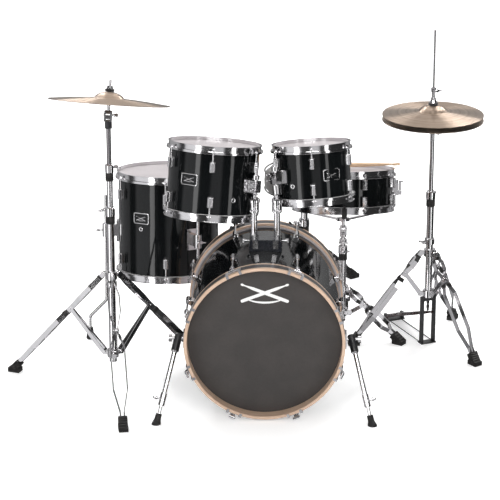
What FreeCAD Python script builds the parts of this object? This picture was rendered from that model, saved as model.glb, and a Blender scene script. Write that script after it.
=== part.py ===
import FreeCAD, Part
import math
import os
import re
import Sketcher
from FreeCAD import Placement, Rotation, Vector

# Acoustic drum kit: a bass drum with two rack toms, a floor tom, a snare on its stand, a crash
# cymbal on a folding tripod, a hi-hat with its pedal, a bass pedal and a throne.
# Millimetres. +Z is up, the audience is at -Y, and the drummer sits at +Y.
# The origin is on the floor, under the middle of the whole kit.

doc = FreeCAD.newDocument("drum_kit")
sheet = doc.addObject("Spreadsheet::Sheet", "sizes")

SIZES = {
    # where the kit's own origin lies, seen from the middle of the bass drum's front hoop
    "kit_x": 71.4, "kit_y": -687.7,
    # drums: shell radius, shell depth, and how many rods each head has
    "bass_radius": 254.0, "bass_depth": 429.0, "bass_rods": 8,
    "left_tom_radius": 152.0, "left_tom_depth": 229.0, "left_tom_rods": 6,
    "right_tom_radius": 127.0, "right_tom_depth": 178.0, "right_tom_rods": 6,
    "floor_tom_radius": 178.0, "floor_tom_depth": 356.0, "floor_tom_rods": 6,
    "snare_radius": 178.0, "snare_depth": 128.0, "snare_rods": 8,
    "shell_wall": 7.0, "head_film": 0.8, "skin_gap": 0.4,
    "hoop_steel": 2.3, "hoop_rise": 12.3, "hoop_seat": 8.0, "flange_reach": 9.0,
    "rod_circle": 12.0, "rod_radius": 2.75, "rod_hole": 3.3,
    "lug_length": 36.0, "lug_width": 19.0, "lug_depth": 21.0,
    # bass drum fittings
    "bass_height": 274.0, "hoop_width": 50.0, "hoop_wood": 12.0, "claw_circle": 23.0,
    "claw_rod_radius": 3.2, "claw_steel": 3.0,
    "holder_width": 108.0, "holder_depth": 96.0, "holder_top": 566.0, "post_gap": 38.0, "post_y": 257.0,
    "post_radius": 10.5, "post_bottom": 420.0, "ball_height": 688.0, "ball_radius": 13.0,
    "fit_gap": 0.06, "arm_radius": 6.0,
    "spur_pivot_x": 290.0, "spur_pivot_y": 120.0, "spur_pivot_z": 250.0,
    "spur_foot_x": 357.0, "spur_foot_y": -22.0, "spur_tube": 8.0,
    # where each drum's upper rim is, and how far it leans to the drummer and sideways, in degrees
    "left_tom_x": -172.0, "left_tom_y": 405.0, "left_tom_z": 849.0, "left_tom_lean": 10.0,
    "left_tom_roll": 4.0,
    "right_tom_x": 150.0, "right_tom_y": 390.0, "right_tom_z": 854.0, "right_tom_lean": 10.0,
    "right_tom_roll": -4.0,
    "floor_tom_x": -355.0, "floor_tom_y": 820.0, "floor_tom_z": 627.0, "floor_tom_lean": 7.0,
    "snare_x": 273.0, "snare_y": 900.0, "snare_z": 612.0, "snare_lean": 12.0,
    "floor_leg_reach": 48.0, "floor_leg_radius": 5.5, "floor_leg_kick": 62.0,
    # tripods: hub radius, and the heights of the two hubs, with the radius at which the feet stand
    "hub_reach": 30.0, "bar_width": 17.0, "bar_steel": 3.0, "bar_pinch": 5.0, "bar_bow": 22.0,
    "pin_radius": 3.0,
    "crash_x": -523.0, "crash_y": 302.0, "crash_hub": 407.0, "crash_heel": 125.0, "crash_spread": 383.0,
    "crash_turn": 159.0,
    "hat_x": 580.0, "hat_y": 746.0, "hat_hub": 345.0, "hat_heel": 190.0, "hat_spread": 268.0,
    "hat_turn": -54.0,
    "stool_x": 135.0, "stool_y": 1300.0, "stool_hub": 205.0, "stool_heel": 92.0, "stool_spread": 245.0,
    "stool_turn": 37.5,
    "cradle_x": 274.0, "cradle_y": 862.0, "cradle_hub": 165.0, "cradle_heel": 75.0, "cradle_spread": 244.0,
    "cradle_turn": -33.0,
    # telescoping tubes, thick to thin
    "base_tube": 12.7, "middle_tube": 10.5, "upper_tube": 8.0, "stool_tube": 16.0, "stool_post": 13.5,
    "crash_base_top": 650.0, "crash_middle_top": 800.0, "crash_upper_top": 948.0, "tilter_height": 970.0,
    "hat_base_top": 575.0, "hat_seat": 794.5, "hat_rod_top": 1157.0, "hat_gap": 17.0, "hat_rim": 837.0,
    "cradle_base_top": 330.0, "cradle_top": 392.0,
    # cymbals
    "crash_radius": 203.0, "crash_lean": 13.0, "crash_roll": 4.0, "crash_stem": 40.0,
    "hat_radius": 178.0, "cymbal_steel": 1.6, "bell_radius": 50.0, "bell_rise": 20.0, "bow_rise": 14.0,
    # pedals and seat
    "bass_pedal_y": 560.0, "bass_axle": 165.0, "bass_heel_y": 728.0, "beater_reach": 150.0,
    "hat_pedal_turn": 115.0, "hat_toe": 118.0, "hat_board": 285.0,
    "seat_radius": 160.0, "seat_bottom": 402.0, "seat_thick": 98.0,
}

for row, (alias, number) in enumerate(SIZES.items(), start=1):
    sheet.set(f"A{row}", alias)
    sheet.set(f"B{row}", str(number))
    sheet.setAlias(f"B{row}", alias)
doc.recompute()

UP = Vector(0, 0, 1)
HERE = Placement()
NODES = []


def bound(text):
    """Write a size sum such as 'snare_radius + 3' as a spreadsheet expression."""
    return re.sub(r"[a-z]+(_[a-z]+)+", lambda word: "sizes." + word.group(), text)


def value(text):
    """The number that a size sum gives."""
    return float(sheet.evalExpression(bound(text)))


# ---------------------------------------------------------------- ways to make a piece

def keep(piece, label, unit):
    """Name a piece as a node and put it where its unit stands."""
    piece.Label = label
    piece.Placement = unit
    NODES.append(piece)
    return piece


def outline_sketch(body, outline, plane, start="0"):
    """A closed sketch on one of the body's origin planes, its corners bound to the sheet."""
    sketch = body.newObject("Sketcher::SketchObject", body.Name + "_outline")
    support = [face for face in body.Origin.OriginFeatures if face.Role == plane][0]
    sketch.AttachmentSupport = [(support, "")]
    sketch.MapMode = "FlatFace"
    sketch.setExpression("AttachmentOffset.Base.z", bound(start))
    corners = [Vector(value(across), value(along), 0) for across, along in outline]
    for index, corner in enumerate(corners):
        sketch.addGeometry(Part.LineSegment(corner, corners[(index + 1) % len(corners)]))
    for index, (across, along) in enumerate(outline):
        following = (index + 1) % len(outline)
        sketch.addConstraint(Sketcher.Constraint("Coincident", index, 2, following, 1))
        for kind, text in (("DistanceX", across), ("DistanceY", along)):
            name = sketch.addConstraint(Sketcher.Constraint(kind, -1, 1, index, 1, value(text)))
            sketch.setExpression(f"Constraints[{name}]", bound(text))
    return sketch


def turned(name, outline):
    """A body turned about its own Z axis from an outline of (radius, height) corners."""
    body = doc.addObject("PartDesign::Body", name)
    sketch = outline_sketch(body, outline, "XZ_Plane")
    spin = body.newObject("PartDesign::Revolution", name + "_spin")
    spin.Profile = sketch
    spin.ReferenceAxis = (sketch, ["V_Axis"])
    spin.Angle = 360
    sketch.Visibility = False
    return body


def padded(name, outline, plane, start, length, rounding=None):
    """A body padded from an outline on an origin plane, with its edges rounded if asked."""
    body = doc.addObject("PartDesign::Body", name)
    pad = body.newObject("PartDesign::Pad", name + "_pad")
    pad.Profile = outline_sketch(body, outline, plane, start)
    pad.setExpression("Length", bound(length))
    if rounding:
        doc.recompute()
        fillet = body.newObject("PartDesign::Fillet", name + "_rounding")
        fillet.Base = (pad, [""])
        fillet.UseAllEdges = True
        fillet.Radius = rounding
    return body


def circle_feature(body, kind, start, reach, radius, length):
    """Pad or pocket one circle that stands at a reach along X from the body's axis."""
    sketch = body.newObject("Sketcher::SketchObject", body.Name + "_circle")
    support = [face for face in body.Origin.OriginFeatures if face.Role == "XY_Plane"][0]
    sketch.AttachmentSupport = [(support, "")]
    sketch.MapMode = "FlatFace"
    sketch.setExpression("AttachmentOffset.Base.z", bound(start))
    sketch.addGeometry(Part.Circle(Vector(value(reach), 0, 0), UP, value(radius)))
    for constraint, text in (
        (Sketcher.Constraint("DistanceX", -1, 1, 0, 3, value(reach)), reach),
        (Sketcher.Constraint("Radius", 0, value(radius)), radius),
    ):
        index = sketch.addConstraint(constraint)
        sketch.setExpression(f"Constraints[{index}]", bound(text))
    sketch.addConstraint(Sketcher.Constraint("PointOnObject", 0, 3, -1))
    feature = body.newObject(kind, sketch.Name + "_cut" if "Pocket" in kind else sketch.Name + "_pad")
    feature.Profile = sketch
    feature.setExpression("Length", bound(length))
    if "Pocket" in kind:
        feature.Reversed = True
    return feature


def repeated(body, features, count):
    """Repeat features evenly about the body's Z axis."""
    pattern = body.newObject("PartDesign::PolarPattern", body.Name + "_pattern")
    pattern.Originals = features
    axis = [line for line in body.Origin.OriginFeatures if line.Role == "Z_Axis"][0]
    pattern.Axis = (axis, [""])
    pattern.Angle = 360
    pattern.setExpression("Occurrences", bound(count))
    body.Tip = pattern
    return body


def group(name, shapes):
    """Several separate solids kept as one piece."""
    solids = [solid for shape in shapes for solid in shape.Solids]
    feature = doc.addObject("Part::Feature", name)
    feature.Shape = Part.Compound(solids)
    return feature


# ---------------------------------------------------------------- small shapes for groups

def moved(shape, placement):
    copy = shape.copy()
    copy.Placement = placement.multiply(copy.Placement)
    return copy


def around(shape, count, first=0.0):
    """Copies of a shape, evenly turned about the Z axis."""
    angles = [first + 360.0 * turn / count for turn in range(int(count))]
    return [moved(shape, Placement(Vector(), Rotation(UP, angle))) for angle in angles]


def flipped(shape):
    """The same shape turned over about the X axis."""
    return moved(shape, Placement(Vector(), Rotation(Vector(1, 0, 0), 180)))


def rod(start, end, radius):
    """A round bar between two points."""
    line = end - start
    return Part.makeCylinder(radius, line.Length, start, line)


def box_between(low, high):
    size = high - low
    return Part.makeBox(size.x, size.y, size.z, low)


def lathe(outline):
    """A solid turned about Z from (radius, height) numbers."""
    corners = [Vector(radius, 0, height) for radius, height in outline]
    return Part.Face(Part.makePolygon(corners + corners[:1])).revolve(Vector(), UP, 360)


def drilled(shape, *tools):
    for tool in tools:
        shape = shape.cut(tool)
    return shape


def wing_bolt(point, outward, length=16.0, span=24.0):
    """A clamp's wing bolt: its shank from a point outwards, and a flat wing with two lobes."""
    shank = rod(Vector(), Vector(length, 0, 0), 3.0)
    boss = rod(Vector(length, 0, 0), Vector(length + 8, 0, 0), 5.5)
    wing = box_between(Vector(length + 2, -span / 2, -2), Vector(length + 9, span / 2, 2))
    lobes = [rod(Vector(length + 8, side * span / 2, -2), Vector(length + 8, side * span / 2, 2), 5.5)
             for side in (-1, 1)]
    bolt = shank.fuse([boss, wing] + lobes).removeSplitter()
    return moved(bolt, Placement(point, Rotation(Vector(1, 0, 0), outward)))


# ---------------------------------------------------------------- drums

def rim_unit(drum, rim_height):
    """Place a drum's own frame, whose origin is the middle of its shell, from its upper rim."""
    lean = math.radians(value(f"{drum}_lean"))
    roll = math.radians(value(f"{drum}_roll") if f"{drum}_roll" in SIZES else 0.0)
    axis = Vector(math.tan(roll), math.tan(lean), 1).normalize()
    rim = Vector(*[value(text) for text in (f"{drum}_x + kit_x", f"{drum}_y + kit_y", f"{drum}_z")])
    return Placement(rim - axis * value(rim_height), Rotation(UP, axis))


def drum_shell(drum):
    """A plywood shell whose two edges are cut at 45 degrees to carry the heads."""
    radius, half, wall = f"{drum}_radius", f"{drum}_depth / 2", "shell_wall"
    return turned(f"{drum}_ply", [
        (f"{radius} - {wall}", f"{wall} - 2 - {half}"), (f"{radius} - 2", f"-{half}"),
        (radius, f"2 - {half}"), (radius, f"{half} - 2"),
        (f"{radius} - 2", half), (f"{radius} - {wall}", f"{half} + 2 - {wall}")])


def drum_head(drum):
    """A film over the shell's edge, its collar, and the flesh hoop that it ends in."""
    radius, top = f"{drum}_radius", f"{drum}_depth / 2"
    return turned(f"{drum}_head_pattern", [
        ("0", top), (f"{radius} + skin_gap", top), (f"{radius} + skin_gap", f"{top} - 14"),
        (f"{radius} + 6", f"{top} - 14"), (f"{radius} + 6", f"{top} - hoop_seat"),
        (f"{radius} + skin_gap + head_film", f"{top} - hoop_seat"),
        (f"{radius} + skin_gap + head_film", f"{top} + head_film"), ("0", f"{top} + head_film")])


def steel_hoop(drum):
    """A triple-flanged steel hoop with an ear and a hole for each tension rod."""
    inside, seat = f"{drum}_radius + 2", f"{drum}_depth / 2 - hoop_seat"
    rim = f"{drum}_depth / 2 + hoop_rise"
    reach = f"{drum}_radius + flange_reach"
    hoop = turned(f"{drum}_hoop_pattern", [
        (inside, seat), (reach, seat), (reach, f"{seat} - 5"), (f"{reach} + hoop_steel", f"{seat} - 5"),
        (f"{reach} + hoop_steel", f"{seat} + hoop_steel"), (f"{inside} + hoop_steel", f"{seat} + hoop_steel"),
        (f"{inside} + hoop_steel", f"{rim} - hoop_steel"), (f"{inside} + 5", f"{rim} - hoop_steel"),
        (f"{inside} + 5", rim), (inside, rim)])
    circle = f"{drum}_radius + rod_circle"
    ear = circle_feature(hoop, "PartDesign::Pad", seat, circle, "rod_hole + 4.5", "hoop_steel")
    hole = circle_feature(hoop, "PartDesign::Pocket", f"{seat} - 6", circle, "rod_hole", "hoop_steel + 8")
    return repeated(hoop, [ear, hole], f"{drum}_rods")


def tension_rod(length):
    """A rod with its washer and square head, hanging down from z = 0."""
    shaft = rod(Vector(), Vector(0, 0, -length), value("rod_radius"))
    washer = rod(Vector(), Vector(0, 0, 1.5), 6.0)
    head = box_between(Vector(-3.5, -3.5, 1.5), Vector(3.5, 3.5, 9))
    return shaft.fuse([washer, head]).removeSplitter()


lug_body = padded("lug_pattern", [
    ("0", "-lug_width / 2"), ("lug_depth - 7", "-lug_width / 2"), ("lug_depth", "-lug_width / 4"),
    ("lug_depth", "lug_width / 4"), ("lug_depth - 7", "lug_width / 2"), ("0", "lug_width / 2")],
    "XY_Plane", "-lug_length / 2", "lug_length", 2.2)
doc.recompute()


def lug(radius, middle):
    """A lug that stands on a shell, drilled for its rod."""
    gap = value("skin_gap")
    body = moved(lug_body.Shape, Placement(Vector(radius + gap, 0, middle), Rotation()))
    reach = radius + value("rod_circle")
    bore = rod(Vector(reach, 0, middle - 40), Vector(reach, 0, middle + 40), value("rod_radius + fit_gap"))
    return body.cut(bore)


def rim_hardware(drum, lug_inset, first, extra):
    """Every lug and tension rod of a drum with two steel hoops."""
    radius, half = value(f"{drum}_radius"), value(f"{drum}_depth / 2")
    count = value(f"{drum}_rods")
    flange = half - value("hoop_seat - hoop_steel")
    rod_length = flange - (half - lug_inset) + value("lug_length") / 2 - 4
    start = Vector(radius + value("rod_circle"), 0, flange)
    screw = moved(tension_rod(rod_length), Placement(start, Rotation()))
    upper = around(lug(radius, half - lug_inset), count, first) + around(screw, count, first)
    lower = [flipped(shape) for shape in upper]
    return group(f"{drum}_lugs_pieces", upper + lower + extra)


def steel_drum(drum, unit, lug_inset, first=-90.0, extra=()):
    """One tom or snare: shell, two heads, two hoops, lugs and rods, with a lug at the first angle."""
    head, hoop = drum_head(drum), steel_hoop(drum)
    keep(drum_shell(drum), f"{drum}_shell", unit)
    doc.recompute()
    spin = Placement(Vector(), Rotation(UP, first))
    keep(group(f"{drum}_heads_pair", [head.Shape, flipped(head.Shape)]), f"{drum}_heads", unit)
    upper_hoop = moved(hoop.Shape, spin)
    hoops = [upper_hoop, flipped(upper_hoop)]
    keep(group(f"{drum}_hoops_pair", hoops), f"{drum}_hoops", unit)
    keep(rim_hardware(drum, lug_inset, first, list(extra)), f"{drum}_lugs", unit)


def floor_point(x_text, y_text, height=0.0):
    return Vector(value(f"{x_text} + kit_x"), value(f"{y_text} + kit_y"), height)


# ---------------------------------------------------------------- bass drum

BASS = Placement(
    Vector(value("kit_x"), value("kit_y + hoop_width - hoop_seat + bass_depth / 2"), value("bass_height")),
    Rotation(Vector(1, 0, 0), 90))
WORLD_TO_BASS = BASS.inverse()
POSTS = {"left": floor_point("-post_gap", "post_y"), "right": floor_point("post_gap", "post_y")}


def in_bass(shape):
    """Bring a shape made in the kit's frame into the bass drum's own frame."""
    return moved(shape, WORLD_TO_BASS)


def bass_drum():
    """Shell, wooden hoops, two heads, lugs, claws with their rods, and the tom holder."""
    radius, half = value("bass_radius"), value("bass_depth / 2")
    hoop_end = half - value("hoop_seat") + value("hoop_width")
    shell = drum_shell("bass")
    for side in POSTS:
        hole = doc.addObject("Part::Cylinder", f"{side}_post_hole")
        hole.setExpression("Radius", bound("post_radius + 1.5"))
        hole.setExpression("Height", bound("bass_radius"))
        through = Placement(POSTS[side] + UP * value("bass_height"), Rotation())
        hole.Placement = WORLD_TO_BASS.multiply(through)
        cut = doc.addObject("Part::Cut", f"shell_with_{side}_hole")
        cut.Base, cut.Tool = shell, hole
        shell = cut
    keep(shell, "bass_shell", BASS)

    seat = "bass_depth / 2 - hoop_seat"
    outer = "bass_radius + hoop_wood"
    hoop = turned("bass_hoop_pattern", [
        ("bass_radius + 1.5", seat), (outer, seat), (outer, f"{seat} + hoop_width - 1.5"),
        (f"{outer} - 1.5", f"{seat} + hoop_width"), ("bass_radius + 3", f"{seat} + hoop_width"),
        ("bass_radius + 1.5", f"{seat} + hoop_width - 1.5")])
    head = drum_head("bass")
    doc.recompute()
    keep(group("bass_hoops_pair", [hoop.Shape, flipped(hoop.Shape)]), "bass_hoops", BASS)
    keep(group("bass_heads_pair", [head.Shape, flipped(head.Shape)]), "bass_heads", BASS)

    # lugs sit well inside the shell's ends; a claw hooks each hoop and a rod pulls it to its lug
    reach = radius + value("claw_circle")
    lug_middle = half - 92
    shank = value("claw_rod_radius")
    foot = moved(lug_body.Shape, Placement(Vector(radius + value("skin_gap"), 0, lug_middle), Rotation()))
    barrel = rod(Vector(reach, 0, lug_middle - 20), Vector(reach, 0, lug_middle + 20), 7.5)
    bore = rod(Vector(reach, 0, lug_middle - 25), Vector(reach, 0, lug_middle + 25), shank + value("fit_gap"))
    bass_lug = drilled(foot.fuse(barrel).removeSplitter(), bore)
    lugs = around(bass_lug, value("bass_rods"), 22.5)

    steel, rim = value("claw_steel"), radius + value("hoop_wood")
    face = hoop_end + 0.3
    back = box_between(Vector(rim + 0.4, -27, hoop_end - 26), Vector(rim + 0.4 + steel, 27, face + steel))
    prongs = [box_between(Vector(rim - 10, side - 4.5, face), Vector(rim + 2, side + 4.5, face + steel))
              for side in (-22.5, 22.5)]
    window = box_between(Vector(rim - 1, -18, hoop_end - 8), Vector(rim + 9, 18, hoop_end + 9))
    ear = rod(Vector(reach, 0, hoop_end - 26), Vector(reach, 0, hoop_end - 12), 8.0)
    claw = drilled(back.fuse(prongs + [ear]).removeSplitter(), window,
                   rod(Vector(reach, 0, hoop_end - 60), Vector(reach, 0, hoop_end + 10), shank + 0.4))
    top = hoop_end - 12
    screw = rod(Vector(reach, 0, lug_middle - 12), Vector(reach, 0, top), shank)
    washer = rod(Vector(reach, 0, top), Vector(reach, 0, top + 2), 6.5)
    key = rod(Vector(reach, 0, top + 2), Vector(reach, 0, top + 9), 4.5)
    handle = rod(Vector(reach, -12, top + 13), Vector(reach, 12, top + 13), 4.0)
    bolt = screw.fuse([washer, key, handle]).removeSplitter()
    front = lugs + around(claw, value("bass_rods"), 22.5) + around(bolt, value("bass_rods"), 22.5)
    keep(group("bass_lugs_pieces", front + [flipped(shape) for shape in front]), "bass_lugs", BASS)


def tom_holder():
    """The saddle block on the bass drum, bored for the two posts, with its wing bolts."""
    middle, half, depth = floor_point("0", "post_y"), value("holder_width / 2"), value("holder_depth / 2")
    low, high = value("bass_height + bass_radius") - 10, value("holder_top")
    corners = [(half, low), (half + 2, low + 16), (half - 3, high),
               (3 - half, high), (-half - 2, low + 16), (-half, low)]
    points = [middle + Vector(x, -depth, z) for x, z in corners]
    block = Part.Face(Part.makePolygon(points + points[:1])).extrude(Vector(0, 2 * depth, 0))
    axis, along = middle + UP * value("bass_height"), Vector(0, 200, 0)
    hollow = rod(axis - along, axis + along, value("bass_radius + skin_gap"))
    bore = value("post_radius + fit_gap")
    bores = [rod(foot + UP * low, foot + UP * (high + 5), bore) for foot in POSTS.values()]
    block = drilled(block, hollow, *bores)
    plates = [box_between(middle + Vector(x - 9, -depth - 3, high - 30),
                          middle + Vector(x + 9, -depth - 0.1, high - 4)) for x in (-34, 34)]
    bolts = [wing_bolt(middle + Vector(sign * (half + 0.6), 0, high - 17), Vector(sign, 0, 0), 10, 22)
             for sign in (-1, 1)]
    keep(group("holder_pieces", [block] + plates + bolts), "tom_holder", HERE)


def tom_post(side):
    """A post that slides in the holder and carries a socket for the tom arm's ball."""
    ball, radius = value("ball_height"), value("ball_radius")
    post, clear = value("post_radius"), value("fit_gap")
    stem = lathe([(0, value("post_bottom")), (post, value("post_bottom")), (post, ball - 40), (17, ball - 38),
                  (17, ball - 6), (19, ball - 4), (19, ball + 6), (17, ball + 9), (0, ball + 9)])
    throat = Part.makeCone(radius - 2.5, radius + 1, 12, Vector(0, 0, ball + 2))
    socket = drilled(stem, Part.makeSphere(radius + clear, Vector(0, 0, ball)), throat)
    bolt = wing_bolt(Vector(0, -17.05, ball - 24), Vector(0, -1, 0), 8, 20)
    keep(group(f"{side}_post_pieces", [socket, bolt]), f"{side}_tom_post", Placement(POSTS[side], Rotation()))


def rack_tom(side):
    """A rack tom, with the arm that ends in the post's ball and the bracket that holds the arm."""
    drum = f"{side}_tom"
    unit = rim_unit(drum, f"{drum}_depth / 2 + hoop_rise")
    radius = value(f"{drum}_radius")
    ball = unit.inverse().multVec(POSTS[side] + UP * value("ball_height"))
    reach = math.hypot(ball.x, ball.y)
    turn = Placement(Vector(), Rotation(UP, math.degrees(math.atan2(ball.y, ball.x))))
    low, high = -24.0, 24.0
    arm = rod(Vector(reach, 0, ball.z), Vector(reach, 0, high + 40), value("arm_radius"))
    arm = arm.fuse(Part.makeSphere(value("ball_radius"), Vector(reach, 0, ball.z))).removeSplitter()
    bore = value("arm_radius + fit_gap")
    sleeve = lathe([(bore, ball.z + 20), (9, ball.z + 20), (12, ball.z + 24), (12, low - 0.2),
                    (bore, low - 0.2)])
    sleeve.translate(Vector(reach, 0, 0))
    memory = lathe([(bore, high + 0.2), (12, high + 0.2), (12, high + 14), (bore, high + 14)])
    memory.translate(Vector(reach, 0, 0))
    plate = box_between(Vector(radius + 0.4, -24, low), Vector(radius + 7, 24, high))
    plate = plate.cut(rod(Vector(0, 0, low), Vector(0, 0, high), radius + value("skin_gap")))
    block = box_between(Vector(radius + 5, -16, low + 4), Vector(reach + 11, 16, high - 4))
    bracket = drilled(plate.fuse(block).removeSplitter(),
                      rod(Vector(reach, 0, low), Vector(reach, 0, high), bore))
    bolts = [wing_bolt(Vector(reach, -16.05, height), Vector(0, -1, 0), 8, 20)
             for height in (low + 14, high - 14)]
    extra = [moved(shape, turn) for shape in [arm, sleeve, memory, bracket] + bolts]
    steel_drum(drum, unit, value(f"{drum}_depth") * 0.2 + 10, extra=extra)


def spur(side, sign):
    """A folding leg of the bass drum: collar, tube, inner rod, wing bolt and rubber foot."""
    pivot = floor_point(f"{sign} * spur_pivot_x", "spur_pivot_y", value("spur_pivot_z"))
    ground = floor_point(f"{sign} * spur_foot_x", "spur_foot_y")
    line = ground - pivot
    length = line.Length
    frame = Placement(pivot, Rotation(Vector(0, 0, -1), line))
    tube_radius = value("spur_tube")
    collar = lathe([(0, 16), (10, 16), (13, 12), (13, -44), (tube_radius, -50), (tube_radius, -190),
                    (0, -190)])
    across = Vector(40, 0, 0)
    collar = drilled(moved(collar, frame), rod(pivot - across, pivot + across, 5 + value("fit_gap")))
    sleeve = lathe([(0, -190.1), (10.5, -190.1), (10.5, -232), (0, -232)])
    inner = lathe([(0, -232.1), (5, -232.1), (5, 34 - length), (0, 34 - length)])
    foot = lathe([(0, 34 - length), (10, 34 - length), (11, 14 - length), (16, -length),
                  (16, -length - 20), (0, -length - 20)])
    above_floor = box_between(ground - Vector(200, 200, 0), ground + Vector(200, 200, 400))
    bolt = moved(wing_bolt(Vector(sign * 10.55, 0, -211), Vector(sign, 0, 0), 8, 22), frame)
    pieces = [collar, moved(sleeve, frame), moved(inner, frame), moved(foot, frame).common(above_floor), bolt]
    keep(group(f"{side}_spur_pieces", pieces), f"{side}_spur", HERE)


def spur_brackets():
    """The two shell brackets, each with the pivot pin and knob of its spur."""
    pieces = []
    for sign in (-1, 1):
        pivot = floor_point(f"{sign} * spur_pivot_x", "spur_pivot_y", value("spur_pivot_z"))
        out = Vector(sign, 0, 0)
        block = box_between(pivot - Vector(40, 22, 26), pivot + Vector(40, 22, 26))
        kept_slab = rod(pivot - out * 45, pivot - out * 18, 60)
        shell = rod(floor_point("0", "0", value("bass_height")) - Vector(0, 50, 0),
                    floor_point("0", "500", value("bass_height")), value("bass_radius + skin_gap"))
        pin = rod(pivot - out * 18, pivot + out * 24, 5)
        knob = rod(pivot + out * 20, pivot + out * 31, 12)
        pieces.append(block.common(kept_slab).cut(shell).fuse([pin, knob]).removeSplitter())
    keep(group("spur_bracket_pair", pieces), "spur_brackets", HERE)


# ---------------------------------------------------------------- floor tom

FLOOR_LEGS = {"left": (180.0, 180.0), "front": (-60.0, 0.0), "back": (60.0, 60.0)}


def floor_tom():
    """A tom on three bent legs, which slide in clamps on its shell."""
    unit = rim_unit("floor_tom", "floor_tom_depth / 2 + hoop_rise")
    radius, reach = value("floor_tom_radius"), value("floor_tom_radius + floor_leg_reach")
    leg = value("floor_leg_radius")
    clamps = []
    for angle, _ in FLOOR_LEGS.values():
        plate = box_between(Vector(radius - 3, -22, -70), Vector(radius + 8, 22, 6))
        plate = plate.cut(rod(Vector(0, 0, -80), Vector(0, 0, 10), radius + value("skin_gap")))
        arm = box_between(Vector(radius + 6, -9, -52), Vector(reach, 9, -12))
        barrel = rod(Vector(reach, 0, -56), Vector(reach, 0, -8), 13)
        bore = rod(Vector(reach, 0, -60), Vector(reach, 0, 0), leg + value("fit_gap"))
        clamp = drilled(plate.fuse([arm, barrel]).removeSplitter(), bore)
        bolt = wing_bolt(Vector(reach + 13.05, 0, -32), Vector(1, 0, 0), 8, 24)
        clamps += [moved(shape, Placement(Vector(), Rotation(UP, angle))) for shape in (clamp, bolt)]
    steel_drum("floor_tom", unit, 62, extra=clamps)

    for name, (angle, kick_angle) in FLOOR_LEGS.items():
        across = Rotation(UP, angle).multVec(Vector(reach, 0, 0))
        top = unit.multVec(across + UP * 95)
        knee_height = 150.0
        axis = unit.Rotation.multVec(UP)
        knee = top - axis * ((top.z - knee_height) / axis.z)
        kick = Rotation(UP, kick_angle).multVec(Vector(value("floor_leg_kick"), 0, 0))
        ankle = knee + kick - UP * 64
        toe = Vector(ankle.x, ankle.y, 30)
        keep(group(f"{name}_leg_pieces", [bent_rod([top, knee, ankle, toe], leg, 26), rubber_foot(toe)]),
             f"floor_tom_{name}_leg", HERE)


def bent_rod(points, radius, bend):
    """A round bar along straight runs joined by arcs of one bend radius."""
    edges, start = [], points[0]
    for before, corner, after in zip(points, points[1:], points[2:]):
        inward, outward = (corner - before).normalize(), (after - corner).normalize()
        half_turn = inward.getAngle(outward) / 2
        trim = bend * math.tan(half_turn)
        first, last = corner - inward * trim, corner + outward * trim
        pull = (outward - inward).normalize()
        middle = corner + pull * bend * (1 / math.cos(half_turn) - 1)
        edges += [Part.LineSegment(start, first).toShape(), Part.Arc(first, middle, last).toShape()]
        start = last
    edges.append(Part.LineSegment(start, points[-1]).toShape())
    path = Part.Wire(edges)
    ring = Part.Wire(Part.makeCircle(radius, points[0], points[1] - points[0]))
    return path.makePipeShell([ring], True, True)


def rubber_foot(top):
    """A tapered rubber foot from a rod's end down to the floor."""
    foot = lathe([(0, 0), (13, 0), (15, 4), (12, 30), (10, 44), (0, 44)])
    foot.translate(Vector(top.x, top.y, 0))
    return foot.cut(rod(Vector(top.x, top.y, 30), Vector(top.x, top.y, 60), value("floor_leg_radius")))


# ---------------------------------------------------------------- tripods

def bent_strip(start, end, stations, width):
    """A steel strip with round ends that runs in a stand's radial plane and bows out of it sideways.

    Each station is a distance along the strip and how far its inner face stands off the plane.
    """
    steel, half = value("bar_steel"), width / 2
    outline = [Vector(along, side, -half) for along, side in stations]
    outline += [Vector(along, side + steel, -half) for along, side in reversed(stations)]
    strip = Part.Face(Part.makePolygon(outline + outline[:1])).extrude(Vector(0, 0, width))
    ends = [rod(Vector(along, side, 0), Vector(along, side + steel, 0), half)
            for along, side in (stations[0], stations[-1])]
    strip = strip.fuse(ends).removeSplitter()
    return moved(strip, Placement(start, Rotation(Vector(1, 0, 0), end - start)))


def strip_pair(start, end, stations, width):
    """Two strips that mirror each other across the stand's radial plane."""
    steel = value("bar_steel")
    mirrored = [(along, -side - steel) for along, side in stations]
    return [bent_strip(start, end, side, width) for side in (stations, mirrored)]


def tripod_geometry(stand):
    """The three pivots of one leg and the point where the leg meets its foot, all in (radius, height)."""
    hub, heel, reach = value(f"{stand}_hub"), value(f"{stand}_heel"), value("hub_reach")
    spread = value(f"{stand}_spread")
    slope = (hub - 16) / (spread - reach)
    half = (hub - heel) / 2
    knee = Vector(reach + half / slope, 0, hub - half)
    return Vector(reach, 0, hub), knee, Vector(reach, 0, heel), Vector(spread, 0, 16)


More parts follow.
